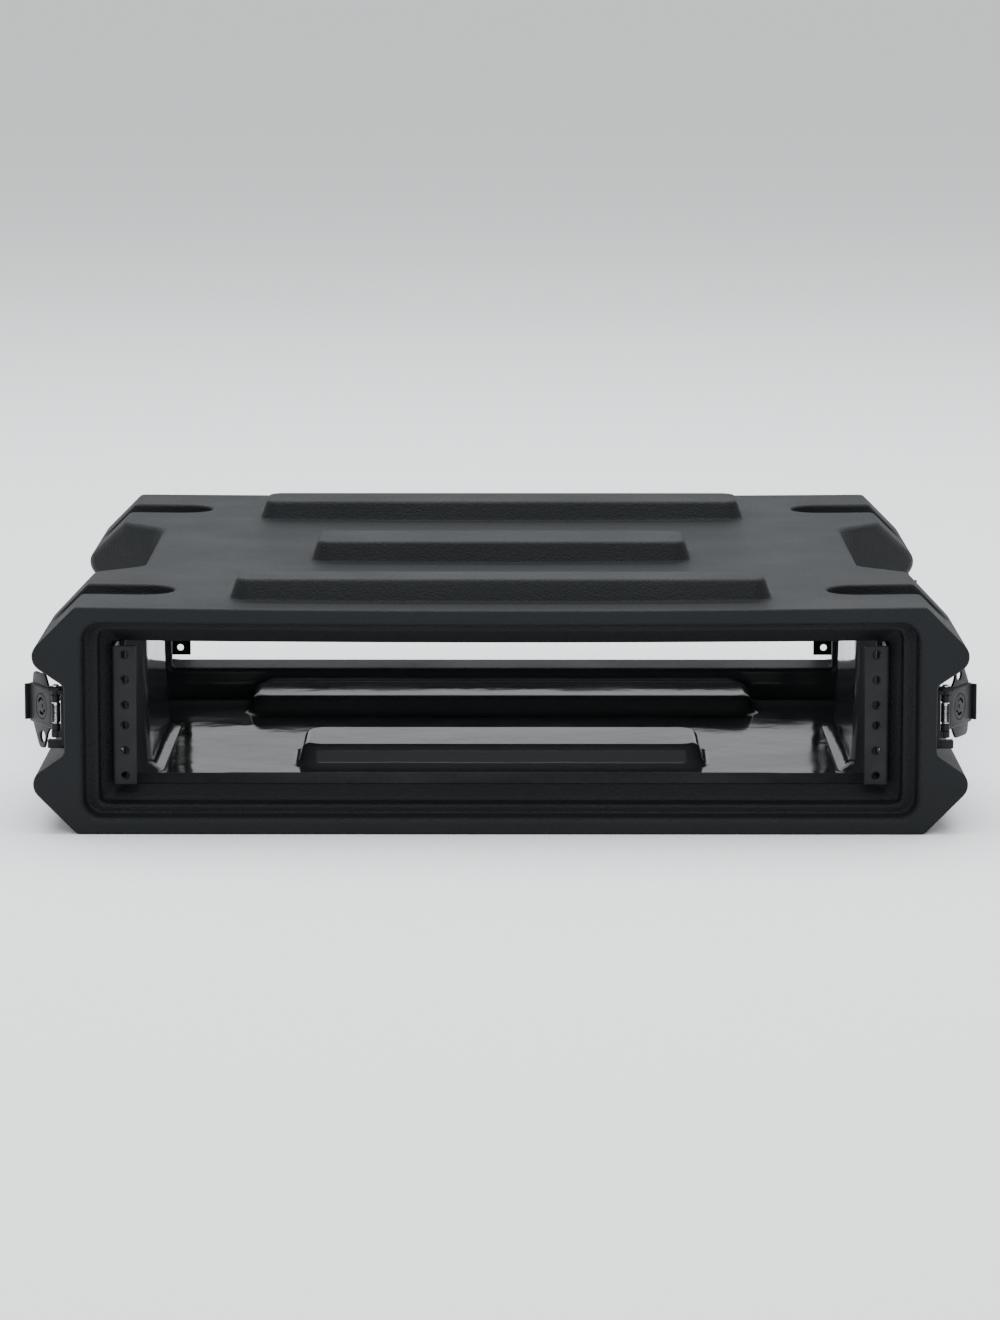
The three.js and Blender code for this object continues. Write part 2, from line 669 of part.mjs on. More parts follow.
// ---- Handle, made for the right side ----
function handlePlate() {
  const back = HANDLE_FLOOR_X + GAP;
  const front = back + PLATE_THICK;
  const earTip = HANDLE_PIVOT_X + EAR_REACH;
  const ear = roundedOutline([
    [front - PAST, HANDLE_PIVOT_Z - EAR_ROOT_HALF, 0],
    [earTip, HANDLE_PIVOT_Z - EAR_TIP_HALF, EAR_CORNER],
    [earTip, HANDLE_PIVOT_Z + EAR_TIP_HALF, EAR_CORNER],
    [front - PAST, HANDLE_PIVOT_Z + EAR_ROOT_HALF, 0],
  ], 3);
  const bore = circle(HANDLE_PIVOT_X, HANDLE_PIVOT_Z, BAIL_R + GAP, 16);
  const plateTop = HANDLE_PIVOT_Z + PLATE_ABOVE_PIVOT;
  const outline = rectangle(-PLATE_HALF, PLATE_HALF, PLATE_LOW_Z, plateTop, PLATE_CORNER, 3);
  const ears = mirrored.map((side) => {
    const [y0, y1] = [side * EAR_FROM, side * EAR_TO].sort(ascending);
    return prismY(ear, y0, y1, [bore]);
  });
  return cut(join([prismX(outline, back, front), ...ears]), handleRivetPlaces.map((y) => (
    cylinder('x', RIVET_R + GAP, back - PAST, front + PAST, y, HANDLE_RIVET_Z)
  )));
}

// The bail's centre line: a pivot stub through each ear, an arm down each side, and the grip bar.
function handleBail() {
  const stub = EAR_TO + 3;
  const points = [
    [-stub, 0],
    [-BAIL_HALF, 0],
    [-BAIL_HALF, -BAIL_DROP],
    [BAIL_HALF, -BAIL_DROP],
    [BAIL_HALF, 0],
    [stub, 0],
  ].map(([y, z]) => new THREE.Vector3(0, y, z));
  const towards = (from, to) => to.clone().sub(from).setLength(BAIL_BEND).add(from);
  const path = new THREE.CurvePath();
  let from = points[0];
  for (let i = 1; i < points.length - 1; i += 1) {
    const into = towards(points[i], points[i - 1]);
    const out = towards(points[i], points[i + 1]);
    path.add(new THREE.LineCurve3(from, into));
    path.add(new THREE.QuadraticBezierCurve3(into, points[i], out));
    from = out;
  }
  path.add(new THREE.LineCurve3(from, points[points.length - 1]));
  const section = new THREE.Shape(circle(0, 0, BAIL_R, 8));
  return toSolid(new THREE.ExtrudeGeometry(section, { extrudePath: path, steps: 36 }));
}

function handleGrip() {
  const bore = BAIL_R + GAP;
  const rounding = 1.5;
  const profile = [
    new THREE.Vector2(bore, -GRIP_HALF),
    new THREE.Vector2(GRIP_R - rounding, -GRIP_HALF),
    new THREE.Vector2(GRIP_R, rounding - GRIP_HALF),
    new THREE.Vector2(GRIP_R, GRIP_HALF - rounding),
    new THREE.Vector2(GRIP_R - rounding, GRIP_HALF),
    new THREE.Vector2(bore, GRIP_HALF),
    new THREE.Vector2(bore, -GRIP_HALF),
  ];
  return toSolid(new THREE.LatheGeometry(profile, 16));
}

// ---- Assembly ----
const group = new THREE.Group();

function place(parent, name, solid, finish, position = [0, 0, 0]) {
  const mesh = new THREE.Mesh(toGeometry(solid), finish);
  mesh.name = name;
  mesh.position.set(...position);
  parent.add(mesh);
}

// Mirror a solid made for the front right corner to another corner.
function toCorner(solid, side, end) {
  return solid.scale([side, end, 1]);
}

place(group, 'shell', shell(), SHELL_MATERIAL);

const places = mirrored.flatMap((end) => mirrored.map((side) => ({
  side,
  end,
  name: `${end > 0 ? 'front' : 'rear'}_${side > 0 ? 'right' : 'left'}`,
})));

const rail = rackRail();
const bolt = railBolt();
const latchSolids = {
  base: latchBase(),
  pin: latchPin(),
  spring: coilSpring(LATCH_SPRING),
  flapUp: latchFlap(true),
  flapDown: latchFlap(false),
  hook: drawHook(),
  turn: thumbTurn(),
  rivet: rivet(WALL + BASE_THICK + PAST),
};

places.forEach(({ side, end, name }) => {
  place(group, `rack_rail_${name}`, toCorner(rail, side, end), RAIL_MATERIAL);
  boltHeights.forEach((z, i) => {
    const at = [(RAIL_OUTER_X - RAIL_THICK - GAP) * side, depthToY(BOLT_DEPTH) * end, z];
    place(group, `rail_bolt_${name}_${i ? 'upper' : 'lower'}`, toCorner(bolt, side, end), STEEL_MATERIAL, at);
  });

  const latch = new THREE.Group();
  latch.position.set(LATCH_HINGE_X * side, depthToY(LATCH_HINGE_DEPTH) * end, LATCH_Z);
  group.add(latch);
  place(latch, `latch_base_${name}`, toCorner(latchSolids.base, side, end), LATCH_MATERIAL);
  place(latch, `latch_pin_${name}`, toCorner(latchSolids.pin, side, end), STEEL_MATERIAL);
  place(latch, `latch_spring_${name}`, toCorner(latchSolids.spring, side, end), STEEL_MATERIAL);
  latchRivetHeights.forEach((z, i) => {
    const headX = LATCH_WALL_X + BASE_THICK + GAP;
    const at = [headX * side, (LATCH_RIVET_DEPTH - LATCH_HINGE_DEPTH) * end, z - LATCH_Z];
    const rivetName = `latch_rivet_${name}_${i ? 'upper' : 'lower'}`;
    place(latch, rivetName, toCorner(latchSolids.rivet, side, end), LATCH_MATERIAL, at);
  });

  // The flap and its thumb-turn lean away from the channel floor when the latch is open.
  // One latch serves every corner, turned over on the front right and the rear left.
  const flap = new THREE.Group();
  const lean = THREE.MathUtils.degToRad(LATCH_OPEN_ANGLE);
  const flapSolid = side * end > 0 ? latchSolids.flapUp : latchSolids.flapDown;
  flap.rotation.z = -lean * side * end;
  flap.position.z = FLAP_Z_SHIFT;
  latch.add(flap);
  place(flap, `latch_flap_${name}`, toCorner(flapSolid, side, end), LATCH_MATERIAL);
  place(flap, `latch_hook_${name}`, toCorner(latchSolids.hook, side, end), LATCH_MATERIAL);
  place(flap, `latch_thumb_turn_${name}`, toCorner(latchSolids.turn, side, end), LATCH_MATERIAL);
});

const handleSolids = {
  plate: handlePlate(),
  bail: handleBail(),
  grip: handleGrip(),
  spring: coilSpring(HANDLE_SPRING).rotate([90, 0, 0]),
  rivet: rivet(WALL + PLATE_THICK + PAST),
};
mirrored.forEach((side) => {
  const name = side > 0 ? 'right' : 'left';
  const pivot = [HANDLE_PIVOT_X * side, 0, HANDLE_PIVOT_Z];
  const grip = [HANDLE_PIVOT_X * side, 0, HANDLE_PIVOT_Z - BAIL_DROP];
  place(group, `handle_plate_${name}`, toCorner(handleSolids.plate, side, 1), LATCH_MATERIAL);
  place(group, `handle_bail_${name}`, toCorner(handleSolids.bail, side, 1), LATCH_MATERIAL, pivot);
  place(group, `handle_grip_${name}`, toCorner(handleSolids.grip, side, 1), RUBBER_MATERIAL, grip);
  mirrored.forEach((end) => {
    const at = [HANDLE_PIVOT_X * side, (EAR_TO + HANDLE_SPRING.offset) * -end, HANDLE_PIVOT_Z];
    const springName = `handle_spring_${name}_${end > 0 ? 'front' : 'rear'}`;
    place(group, springName, handleSolids.spring, STEEL_MATERIAL, at);
  });
  handleRivetPlaces.forEach((y) => {
    const at = [(HANDLE_FLOOR_X + GAP + PLATE_THICK + GAP) * side, y, HANDLE_RIVET_Z];
    const rivetName = `handle_rivet_${name}_${y > 0 ? 'rear' : 'front'}`;
    place(group, rivetName, toCorner(handleSolids.rivet, side, 1), LATCH_MATERIAL, at);
  });
});

export default group;
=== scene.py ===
"""Rotationally moulded two-unit rack case: the looks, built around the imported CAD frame.

The shell is described as one signed-distance field in millimetres, and the surface where the field
is zero becomes its mesh.  Rails, latches and handles are small meshes made from outlines, lathe
profiles and tubes.
"""
import json
import math
from itertools import product

import bmesh
import bpy
import numpy as np
from mathutils import Matrix, Vector


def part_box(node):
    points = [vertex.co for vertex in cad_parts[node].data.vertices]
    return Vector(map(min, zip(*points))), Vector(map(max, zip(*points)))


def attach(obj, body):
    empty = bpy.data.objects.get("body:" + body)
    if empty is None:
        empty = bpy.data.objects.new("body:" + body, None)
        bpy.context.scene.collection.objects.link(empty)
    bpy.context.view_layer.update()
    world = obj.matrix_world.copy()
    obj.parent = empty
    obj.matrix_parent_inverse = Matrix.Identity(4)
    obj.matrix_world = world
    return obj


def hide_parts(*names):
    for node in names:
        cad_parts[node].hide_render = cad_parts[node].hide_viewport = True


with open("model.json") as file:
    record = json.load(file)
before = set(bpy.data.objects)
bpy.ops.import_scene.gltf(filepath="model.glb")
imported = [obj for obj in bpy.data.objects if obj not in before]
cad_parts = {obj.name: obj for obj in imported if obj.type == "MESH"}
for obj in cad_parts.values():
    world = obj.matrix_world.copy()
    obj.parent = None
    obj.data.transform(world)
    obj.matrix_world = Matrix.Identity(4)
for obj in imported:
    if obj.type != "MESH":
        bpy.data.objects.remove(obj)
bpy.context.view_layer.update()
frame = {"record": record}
MM = 0.001

# ---- Sizes in millimetres, from the frame where it has them ----
SHELL_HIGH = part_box("shell")[1]
RIB_HEIGHT = 12.0
RIB_ROOT = 30.0                      # how far a rib reaches down into the flat top
HEIGHT = SHELL_HIGH.z / MM - RIB_HEIGHT
MID = HEIGHT / 2
HALF_DEPTH = SHELL_HIGH.y / MM
NOSE_TIP = SHELL_HIGH.x / MM
WALL = 5.0

BASE_HALF = 261.0
CHANNEL_X = 268.4
RIM_OUTER = (256.5, 60.5, 11.0)      # half width, half height, corner radius
RIM_LEDGE = (247.5, 54.0, 8.0)
CREST = (235.5, 45.0, 2.5)
RIM_OUTER_DEPTH = 14.0
LEDGE_DEPTH = 24.0
CREST_FRONT = 32.0
CREST_BACK = 67.0
RIBS = ((168.0, 30.5, 71.0, False), (124.0, 189.0, 248.0, True), (168.0, 379.0, 432.0, True))
RECESSES = ((173.0, 28.0, 98.0, 15.0), (130.0, 186.0, 252.0, 15.0), (174.0, 375.0, 436.0, 12.8))
DRAFT = 4.0
HANDLE_FLOOR = 236.4
HANDLE_HALF = 82.0
HANDLE_SLOPE = 0.9
HANDLE_FLARE = 4.0
FLUTE_X = 224.0
FLUTE_Y = 181.0
FLUTE_R = 19.0
FLUTE_DEPTH = 8.0
FLUTE_DROP = 22.0
CHANNEL_EDGE = (21.6, 5.0)           # height above or below the middle, radius
NOSE_CORNER = (293.4, 38.4, 9.8)     # half width, height above or below the middle, radius
TOP_SAG = (2.2, 0.9)                 # at the front end, and how much less at the rear end
RAIL_POCKET_X = (237.5, 3.1)         # middle and half width of the slot a rack rail sits in
RAIL_POCKET_DEPTH = (40.0, 18.0)     # middle and half length of the slot, from the rim
RAIL_POCKET_HALF = 44.7              # half height of the slot

# Radii: an edge turns outwards, a fillet fills an inside angle.
RIB_CORNER, RIB_EDGE, RIB_FILLET = 13.0, 1.8, 1.4
RECESS_CORNER, RECESS_ROOF, RECESS_EDGE = 12.0, 4.0, 2.0
HANDLE_CORNER, HANDLE_EDGE = 24.0, 4.5
FLUTE_BOTTOM, FLUTE_END, FLUTE_EDGE = 2.5, 6.0, 1.6
END_EDGE, RIM_EDGE, STEP_EDGE, STEP_FILLET, CREST_EDGE = 1.4, 3.6, 1.6, 1.2, 2.0
CHAMBER_CORNER, CHAMBER_EDGE = 12.0, 3.0
INSIDE_SOFTNESS = 14.0

# A sloped side makes its field steeper than a distance, and these factors bring it back.
DRAFT_SCALE, CREST_SCALE = 0.95, 0.7
CREST_OVERLAP = 4.0

# The mesh of the shell, its samples set off from the flat faces
SAMPLE_OFFSET_Y, SAMPLE_OFFSET_Z = 0.37, 0.29
SAMPLE_STEP_QUICK, SAMPLE_STEP_FULL = 3.0, 1.8
SHARE_KEPT = 0.16
GLOSS_FADE = 3.0


# ---- Signed distances: negative inside the material ----
def round_max(a, b, r):
    """Intersection of two solids, with its edge rounded to radius r."""
    return np.minimum(-r, np.maximum(a, b)) + np.hypot(np.maximum(a + r, 0), np.maximum(b + r, 0))


def round_min(a, b, r):
    """Union of two solids, with a fillet of radius r between them."""
    return -round_max(-a, -b, r)


def rect_2d(x, y, half_x, half_y, r):
    qx = np.abs(x) - half_x + r
    qy = np.abs(y) - half_y + r
    return np.hypot(np.maximum(qx, 0), np.maximum(qy, 0)) + np.minimum(np.maximum(qx, qy), 0) - r


def polygon_2d(x, y, points):
    nearest = None
    flips = None
    for (ax, ay), (bx, by) in zip(points, points[-1:] + points[:-1]):
        ex, ey = bx - ax, by - ay
        wx, wy = x - ax, y - ay
        along = np.clip((wx * ex + wy * ey) / (ex * ex + ey * ey), 0, 1)
        gap = (wx - ex * along) ** 2 + (wy - ey * along) ** 2
        above, below, left = y >= ay, y < by, ex * wy > ey * wx
        crossing = (above & below & left) | (~above & ~below & ~left)
        nearest = gap if nearest is None else np.minimum(nearest, gap)
        flips = crossing if flips is None else flips ^ crossing
    return np.where(flips, -1.0, 1.0) * np.sqrt(nearest)


def rounded(corners, steps=6):
    """Points of a closed outline whose corners (x, y, radius) are rounded with arcs."""
    points = []
    count = len(corners)
    for i, (x, y, r) in enumerate(corners):
        here = Vector((x, y))
        if not r:
            points.append((x, y))
            continue
        to_before = (Vector(corners[i - 1][:2]) - here).normalized()
        to_after = (Vector(corners[(i + 1) % count][:2]) - here).normalized()
        half = to_before.angle(to_after) / 2
        centre = here + (to_before + to_after).normalized() * (r / math.sin(half))
        start = here + to_before * (r / math.tan(half)) - centre
        end = here + to_after * (r / math.tan(half)) - centre
        turn = math.atan2(start.x * end.y - start.y * end.x, start.dot(end))
        for k in range(steps + 1):
            a = turn * k / steps
            c, s = math.cos(a), math.sin(a)
            points.append((centre.x + start.x * c - start.y * s, centre.y + start.x * s + start.y * c))
    return points


FAR = 400.0
QUARTER = rounded([
    (-FAR, -FAR, 0), (CHANNEL_X, -FAR, 0), (CHANNEL_X, *CHANNEL_EDGE), NOSE_CORNER,
    (BASE_HALF, MID, 5), (-FAR, MID, 0),
])
HANDLE_PLAN = rounded([
    (HANDLE_FLOOR, -FAR, 0), (FAR, -FAR, 0),
    (FAR, HANDLE_HALF + (FAR - HANDLE_FLOOR) * HANDLE_SLOPE, 0), (HANDLE_FLOOR, HANDLE_HALF, HANDLE_CORNER),
])


def cross_block(x, y, half, start, stop, z_from_root, height, corner):
    """Sides of a drafted block lying across the case."""
    side = rect_2d(x, y - ((start + stop) / 2 - HALF_DEPTH), half, (stop - start) / 2, corner)
    return (side + z_from_root * DRAFT / height) * DRAFT_SCALE


def sag(x, y):
    """How far the flat top sinks between its ends: more at the front."""
    front, easing = TOP_SAG
    return (front - easing * (y / HALF_DEPTH + 1) / 2) * np.clip(1 - (x / BASE_HALF) ** 2, 0, 1)


def body_field(x, y, z, wall, soft):
    """The moulding without its end openings, moved inwards by the wall, its edges softened."""
    # The ribs keep their tops level while the flat top between them sags.
    level = z - sag(x, y)
    fx, fy, fz = np.abs(x), np.abs(y), np.abs(z - MID)
    section = polygon_2d(fx, fz, QUARTER) + wall
    flare = HANDLE_FLARE * (fz / MID) ** 2
    body = round_max(section, wall - polygon_2d(fx + flare, fy, HANDLE_PLAN), HANDLE_EDGE + soft / 4)
    for half, start, stop, hollow in RIBS:
        if wall and not hollow:
            continue
        side = cross_block(x, y, half, start, stop, level - HEIGHT, RIB_HEIGHT, RIB_CORNER) + wall
        rib = round_max(side, level - HEIGHT - RIB_HEIGHT + wall, RIB_EDGE + soft / 3)
        body = round_min(body, np.maximum(rib, HEIGHT - RIB_ROOT - z), RIB_FILLET + soft / 4)
    for half, start, stop, depth in RECESSES:
        side = cross_block(x, y, half, start, stop, z, depth, RECESS_CORNER) - wall
        space = round_max(side, z - depth - wall, RECESS_ROOF)
        body = round_max(body, -space, RECESS_EDGE + soft / 7)
    run = np.hypot(np.maximum(FLUTE_X - fx, 0), fy - FLUTE_Y) - FLUTE_R - wall
    groove = round_max(run, -(section + FLUTE_DEPTH), FLUTE_BOTTOM + wall)
    groove = round_max(groove, HEIGHT - FLUTE_DROP - wall - z, FLUTE_END)
    return round_max(body, -groove, FLUTE_EDGE + soft / 2)


def outer_field(x, y, z):
    return round_max(body_field(x, y, z, 0.0, 0.0), np.abs(y) - HALF_DEPTH, END_EDGE)


def chamber_field(x, y, z):
    inside = body_field(x, y, z, WALL, INSIDE_SOFTNESS)
    return round_max(inside, np.abs(y) - (HALF_DEPTH - CREST_BACK), CHAMBER_CORNER)


def mouth_field(x, y, z):
    depth = HALF_DEPTH - np.abs(y)
    fz = z - MID
    cut = round_max(rect_2d(x, fz, *RIM_OUTER), depth - RIM_OUTER_DEPTH, STEP_FILLET)
    ledge = round_max(rect_2d(x, fz, *RIM_LEDGE), depth - LEDGE_DEPTH, STEP_FILLET)
    t = np.clip((depth - LEDGE_DEPTH) / (CREST_FRONT - LEDGE_DEPTH), 0, 1)
    half_x = RIM_LEDGE[0] + (CREST[0] - RIM_LEDGE[0]) * t
    half_z = RIM_LEDGE[1] + (CREST[1] - RIM_LEDGE[1]) * t
    crest = np.maximum(rect_2d(x, fz, half_x, half_z, CREST[2]) * CREST_SCALE,
                       depth - CREST_BACK - CREST_OVERLAP)
    pocket_x, pocket_half_x = RAIL_POCKET_X
    pocket_depth, pocket_half_depth = RAIL_POCKET_DEPTH
    pocket = np.maximum(np.abs(np.abs(x) - pocket_x) - pocket_half_x, np.abs(fz) - RAIL_POCKET_HALF)
    pocket = np.maximum(pocket, np.abs(depth - pocket_depth) - pocket_half_depth)
    cut = round_min(round_min(cut, ledge, STEP_EDGE), crest, CREST_EDGE)
    return np.minimum(cut, pocket)


def shell_field(x, y, z, parts=False):
    z = z + sag(x, y) * np.clip(z / HEIGHT, 0, 1) ** 2
    outer = outer_field(x, y, z)
    chamber = chamber_field(x, y, z)
    # The rim's front edge is well rounded where it turns into the opening.
    front = round_max(outer, -mouth_field(x, y, z), RIM_EDGE)
    solid = round_max(front, -chamber, CHAMBER_EDGE)
    return (solid, chamber) if parts else solid


# ---- Turning the field into a mesh ----
def shifted(grid, start, size):
    """The block of a grid that begins at a corner step and has the given size."""
    return grid[tuple(slice(a, a + n) for a, n in zip(start, size))]


def surface_net(field, origin, step):
    """Vertices and quads of the zero surface of a sampled field, one vertex in each crossed cell."""
    inside = field < 0
    size = [n - 1 for n in field.shape]
    corner_steps = list(product((0, 1), repeat=3))
    count = sum(shifted(inside, s, size).astype(np.uint8) for s in corner_steps)
    active = (count > 0) & (count < 8)
    cells = np.argwhere(active)
    index = np.full(size, -1, np.int32)
    index[active] = np.arange(len(cells))
    values = {s: field[tuple((cells + s).T)] for s in corner_steps}
    total = np.zeros((len(cells), 3), np.float32)
    hits = np.zeros(len(cells), np.float32)
    for s in corner_steps:
        for axis in range(3):
            if s[axis]:
                continue
            t = tuple(1 if a == axis else v for a, v in enumerate(s))
            va, vb = values[s], values[t]
            crossed = (va < 0) != (vb < 0)
            share = np.where(crossed, va / np.where(crossed, va - vb, 1), 0)
            point = np.array(s, np.float32)[None, :].repeat(len(cells), 0)
            point[:, axis] += share
            total += point * crossed[:, None]
            hits += crossed
    verts = (cells + total / hits[:, None]) * step + np.array(origin)
    quads = []
    for axis in range(3):
        u, v = (axis + 1) % 3, (axis + 2) % 3
        low = [slice(1, -1)] * 3
        high = [slice(1, -1)] * 3
        low[axis], high[axis] = slice(0, -1), slice(1, None)
        a, b = inside[tuple(low)], inside[tuple(high)]
        edges = np.argwhere(a != b)
        leaving = a[tuple(edges.T)]
        base = edges.copy()
        base[:, u] += 1
        base[:, v] += 1
        ring = []
        for du, dv in ((-1, -1), (0, -1), (0, 0), (-1, 0)):
            at = base.copy()
            at[:, u] += du
            at[:, v] += dv
            ring.append(index[tuple(at.T)])
        quad = np.stack(ring, 1)
        quad[~leaving] = quad[~leaving][:, ::-1]
        quads.append(quad)
    return verts, np.concatenate(quads)


def slope(points, reach=0.05):
    grad = np.empty_like(points)
    for axis in range(3):
        shift = np.zeros(3)
        shift[axis] = reach
        ahead = shell_field(*(points + shift).T)
        behind = shell_field(*(points - shift).T)
        grad[:, axis] = (ahead - behind) / (2 * reach)
    return grad


def onto_surface(points, rounds):
    for _ in range(rounds):
        grad = slope(points)
        value = shell_field(*points.T)
        move = grad * (value / np.maximum((grad ** 2).sum(1), 0.05))[:, None]
        points = points - np.clip(move, -1.0, 1.0)
    return points


def link_mesh(name, mesh):
    obj = bpy.data.objects.new(name, mesh)
    bpy.context.scene.collection.objects.link(obj)
    return obj


def build_shell(material):
    step = SAMPLE_STEP_FULL
    margin = 3.0 * step
    half_count = int(math.ceil((NOSE_TIP + margin) / step))
    # Samples lie either side of x = 0, so the two halves mirror each other exactly.
    xs = (np.arange(half_count) + 0.5) * step
    ys = np.arange(-HALF_DEPTH - margin + SAMPLE_OFFSET_Y, HALF_DEPTH + margin, step)
    zs = np.arange(-margin + SAMPLE_OFFSET_Z, HEIGHT + RIB_HEIGHT + margin, step)
    x, y, z = np.meshgrid(xs, ys, zs, indexing="ij", sparse=True)
    x, y, z = (a.astype(np.float32) for a in (x, y, z))
    half = shell_field(x, y, z).astype(np.float32)
    field = np.concatenate([half[::-1], half])
    verts, quads = surface_net(field, (-xs[-1], ys[0], zs[0]), step)
    verts = onto_surface(verts.astype(np.float64), 2)
    mesh = bpy.data.meshes.new("case_shell")
    mesh.vertices.add(len(verts))
    mesh.vertices.foreach_set("co", (verts * MM).astype(np.float32).ravel())
    mesh.loops.add(4 * len(quads))
    mesh.loops.foreach_set("vertex_index", quads.astype(np.int32).ravel())
    mesh.polygons.add(len(quads))
    mesh.polygons.foreach_set("loop_start", np.arange(0, 4 * len(quads), 4, dtype=np.int32))
    mesh.update(calc_edges=True)
    obj = link_mesh("case_shell", mesh)
    thin = obj.modifiers.new("thin", "DECIMATE")
    thin.ratio = SHARE_KEPT
    graph = bpy.context.evaluated_depsgraph_get()
    light = bpy.data.meshes.new_from_object(obj.evaluated_get(graph))
    obj.modifiers.clear()
    obj.data = light
    co = np.empty(len(light.vertices) * 3, np.float32)
    light.vertices.foreach_get("co", co)
    points = onto_surface(co.reshape(-1, 3).astype(np.float64) / MM, 2)
    light.vertices.foreach_set("co", (points * MM).astype(np.float32).ravel())
    normals = slope(points)
    normals /= np.linalg.norm(normals, axis=1)[:, None]
    _, chamber = shell_field(*points.T, parts=True)
    # The mask marks the glossy inside; the material also uses it to paint light into the inside colour.
    inside_gloss_and_painted_light = light.attributes.new("inside_gloss_and_painted_light", "FLOAT", "POINT")
    inside_gloss_and_painted_light.data.foreach_set("value", np.clip(1 - chamber / GLOSS_FADE, 0, 1).astype(np.float32))
    light.materials.append(material)
    light.shade_smooth()
    light.normals_split_custom_set_from_vertices(normals.astype(np.float32))
    light.update()
    return obj


# ---- Small pieces: each function gives vertices and faces in millimetres ----
def circle(x, y, radius, sides=32):
    angles = [2 * math.pi * i / sides for i in range(sides)]
    return [(x + radius * math.cos(a), y + radius * math.sin(a)) for a in angles]


def rectangle(x0, x1, y0, y1, radius=0.0, steps=5):
    return rounded([(x0, y0, radius), (x1, y0, radius), (x1, y1, radius), (x0, y1, radius)], steps)


def arc_slot(x, y, radius, width, start, stop, steps=10):
    """Outline of a curved slot with square ends; angles in degrees."""
    turn = [math.radians(start + (stop - start) * k / steps) for k in range(steps + 1)]
    outside = [(x + (radius + width / 2) * math.cos(a), y + (radius + width / 2) * math.sin(a)) for a in turn]
    inside = [(x + (radius - width / 2) * math.cos(a), y + (radius - width / 2) * math.sin(a)) for a in turn]
    return outside + inside[::-1]


def plate(outlines, low, high, bevel):
    """A bevelled sheet between two levels, its outline first and then its holes."""
    curve = bpy.data.curves.new("outline", "CURVE")
    curve.dimensions = "2D"
    curve.fill_mode = "BOTH"
    curve.extrude = max((high - low) / 2 - bevel, 0.01)
    curve.bevel_depth = bevel
    curve.bevel_resolution = 2
    curve.offset = -bevel
    for points in outlines:
        spline = curve.splines.new("POLY")
        spline.points.add(len(points) - 1)
        for knot, (x, y) in zip(spline.points, points):
            knot.co = (x, y, 0, 1)
        spline.use_cyclic_u = True
    obj = bpy.data.objects.new("outline", curve)
    bpy.context.scene.collection.objects.link(obj)
    mesh = bpy.data.meshes.new_from_object(obj)
    verts = [Vector((v.co.x, v.co.y, v.co.z + (low + high) / 2)) for v in mesh.vertices]
    faces = [tuple(p.vertices) for p in mesh.polygons]
    bpy.data.objects.remove(obj)
    bpy.data.curves.remove(curve)
    bpy.data.meshes.remove(mesh)
    return verts, faces


def rings(loops, close_start=True, close_end=True):
    """A skin over loops of equal length, with its ends filled."""
    count = len(loops[0])
    verts = [Vector(p) for loop in loops for p in loop]
    faces = []
    for k in range(len(loops) - 1):
        for i in range(count):
            j = (i + 1) % count
            faces.append((k * count + i, k * count + j, (k + 1) * count + j, (k + 1) * count + i))
    if close_start:
        faces.append(tuple(range(count))[::-1])
    if close_end:
        faces.append(tuple(range((len(loops) - 1) * count, len(loops) * count)))
    return verts, faces


def lathe(profile, sides=32, closed=False):
    """A turned piece about Z from (radius, z) points; a closed profile makes a ring."""
    loops = [[(x, y, z) for x, y in circle(0, 0, max(r, 1e-3), sides)] for r, z in profile]
    if closed:
        loops.append(loops[0])
    return rings(loops, not closed, not closed)


def tube(points, radius, sides=12):
    """A round bar along a path, its ends slightly rounded over."""
    path = [Vector(p) for p in points]
    side = None
    loops = []
    for i, here in enumerate(path):
        along = (path[min(i + 1, len(path) - 1)] - path[max(i - 1, 0)]).normalized()
        if side is None:
            side = along.orthogonal().normalized()
        side = (side - along * side.dot(along)).normalized()
        up = along.cross(side)
        loops.append([here + side * (radius * c) + up * (radius * s) for c, s in circle(0, 0, 1, sides)])
    cap = 0.35
    for end, inner in ((0, 1), (-1, -2)):
        away = (path[end] - path[inner]).normalized() * radius * cap
        tip = [path[end] + away + (p - path[end]) * 0.72 for p in loops[end]]
        loops = [tip] + loops if end == 0 else loops + [tip]
    return rings(loops)


def coil(radius, wire, low, high, turns):
    count = int(turns * 20)
    path = []
    for i in range(count + 1):
        t = i / count
        a = 2 * math.pi * turns * t
        path.append((radius * math.cos(a), radius * math.sin(a), low + (high - low) * t))
    return tube(path, wire, 8)


def bevelled_box(x0, x1, y0, y1, z0, z1, bevel):
    return plate([rectangle(x0, x1, y0, y1, bevel, 2)], z0, z1, bevel)


def placed(matrix, piece):
    verts, faces = piece
    return [matrix @ Vector(v) for v in verts], faces


# A plate drawn in X and Y becomes one in Y and Z (facing X), or in X and Z (facing -Y).
FACING_X = Matrix(((0, 0, 1, 0), (1, 0, 0, 0), (0, 1, 0, 0), (0, 0, 0, 1)))
FACING_Y = Matrix(((1, 0, 0, 0), (0, 0, -1, 0), (0, 1, 0, 0), (0, 0, 0, 1)))
ALONG_X = Matrix.Rotation(math.radians(90), 4, "Y")
ALONG_Y = Matrix.Rotation(math.radians(-90), 4, "X")


def sheet_x(outlines, low, high, bevel):
    return placed(FACING_X, plate(outlines, low, high, bevel))


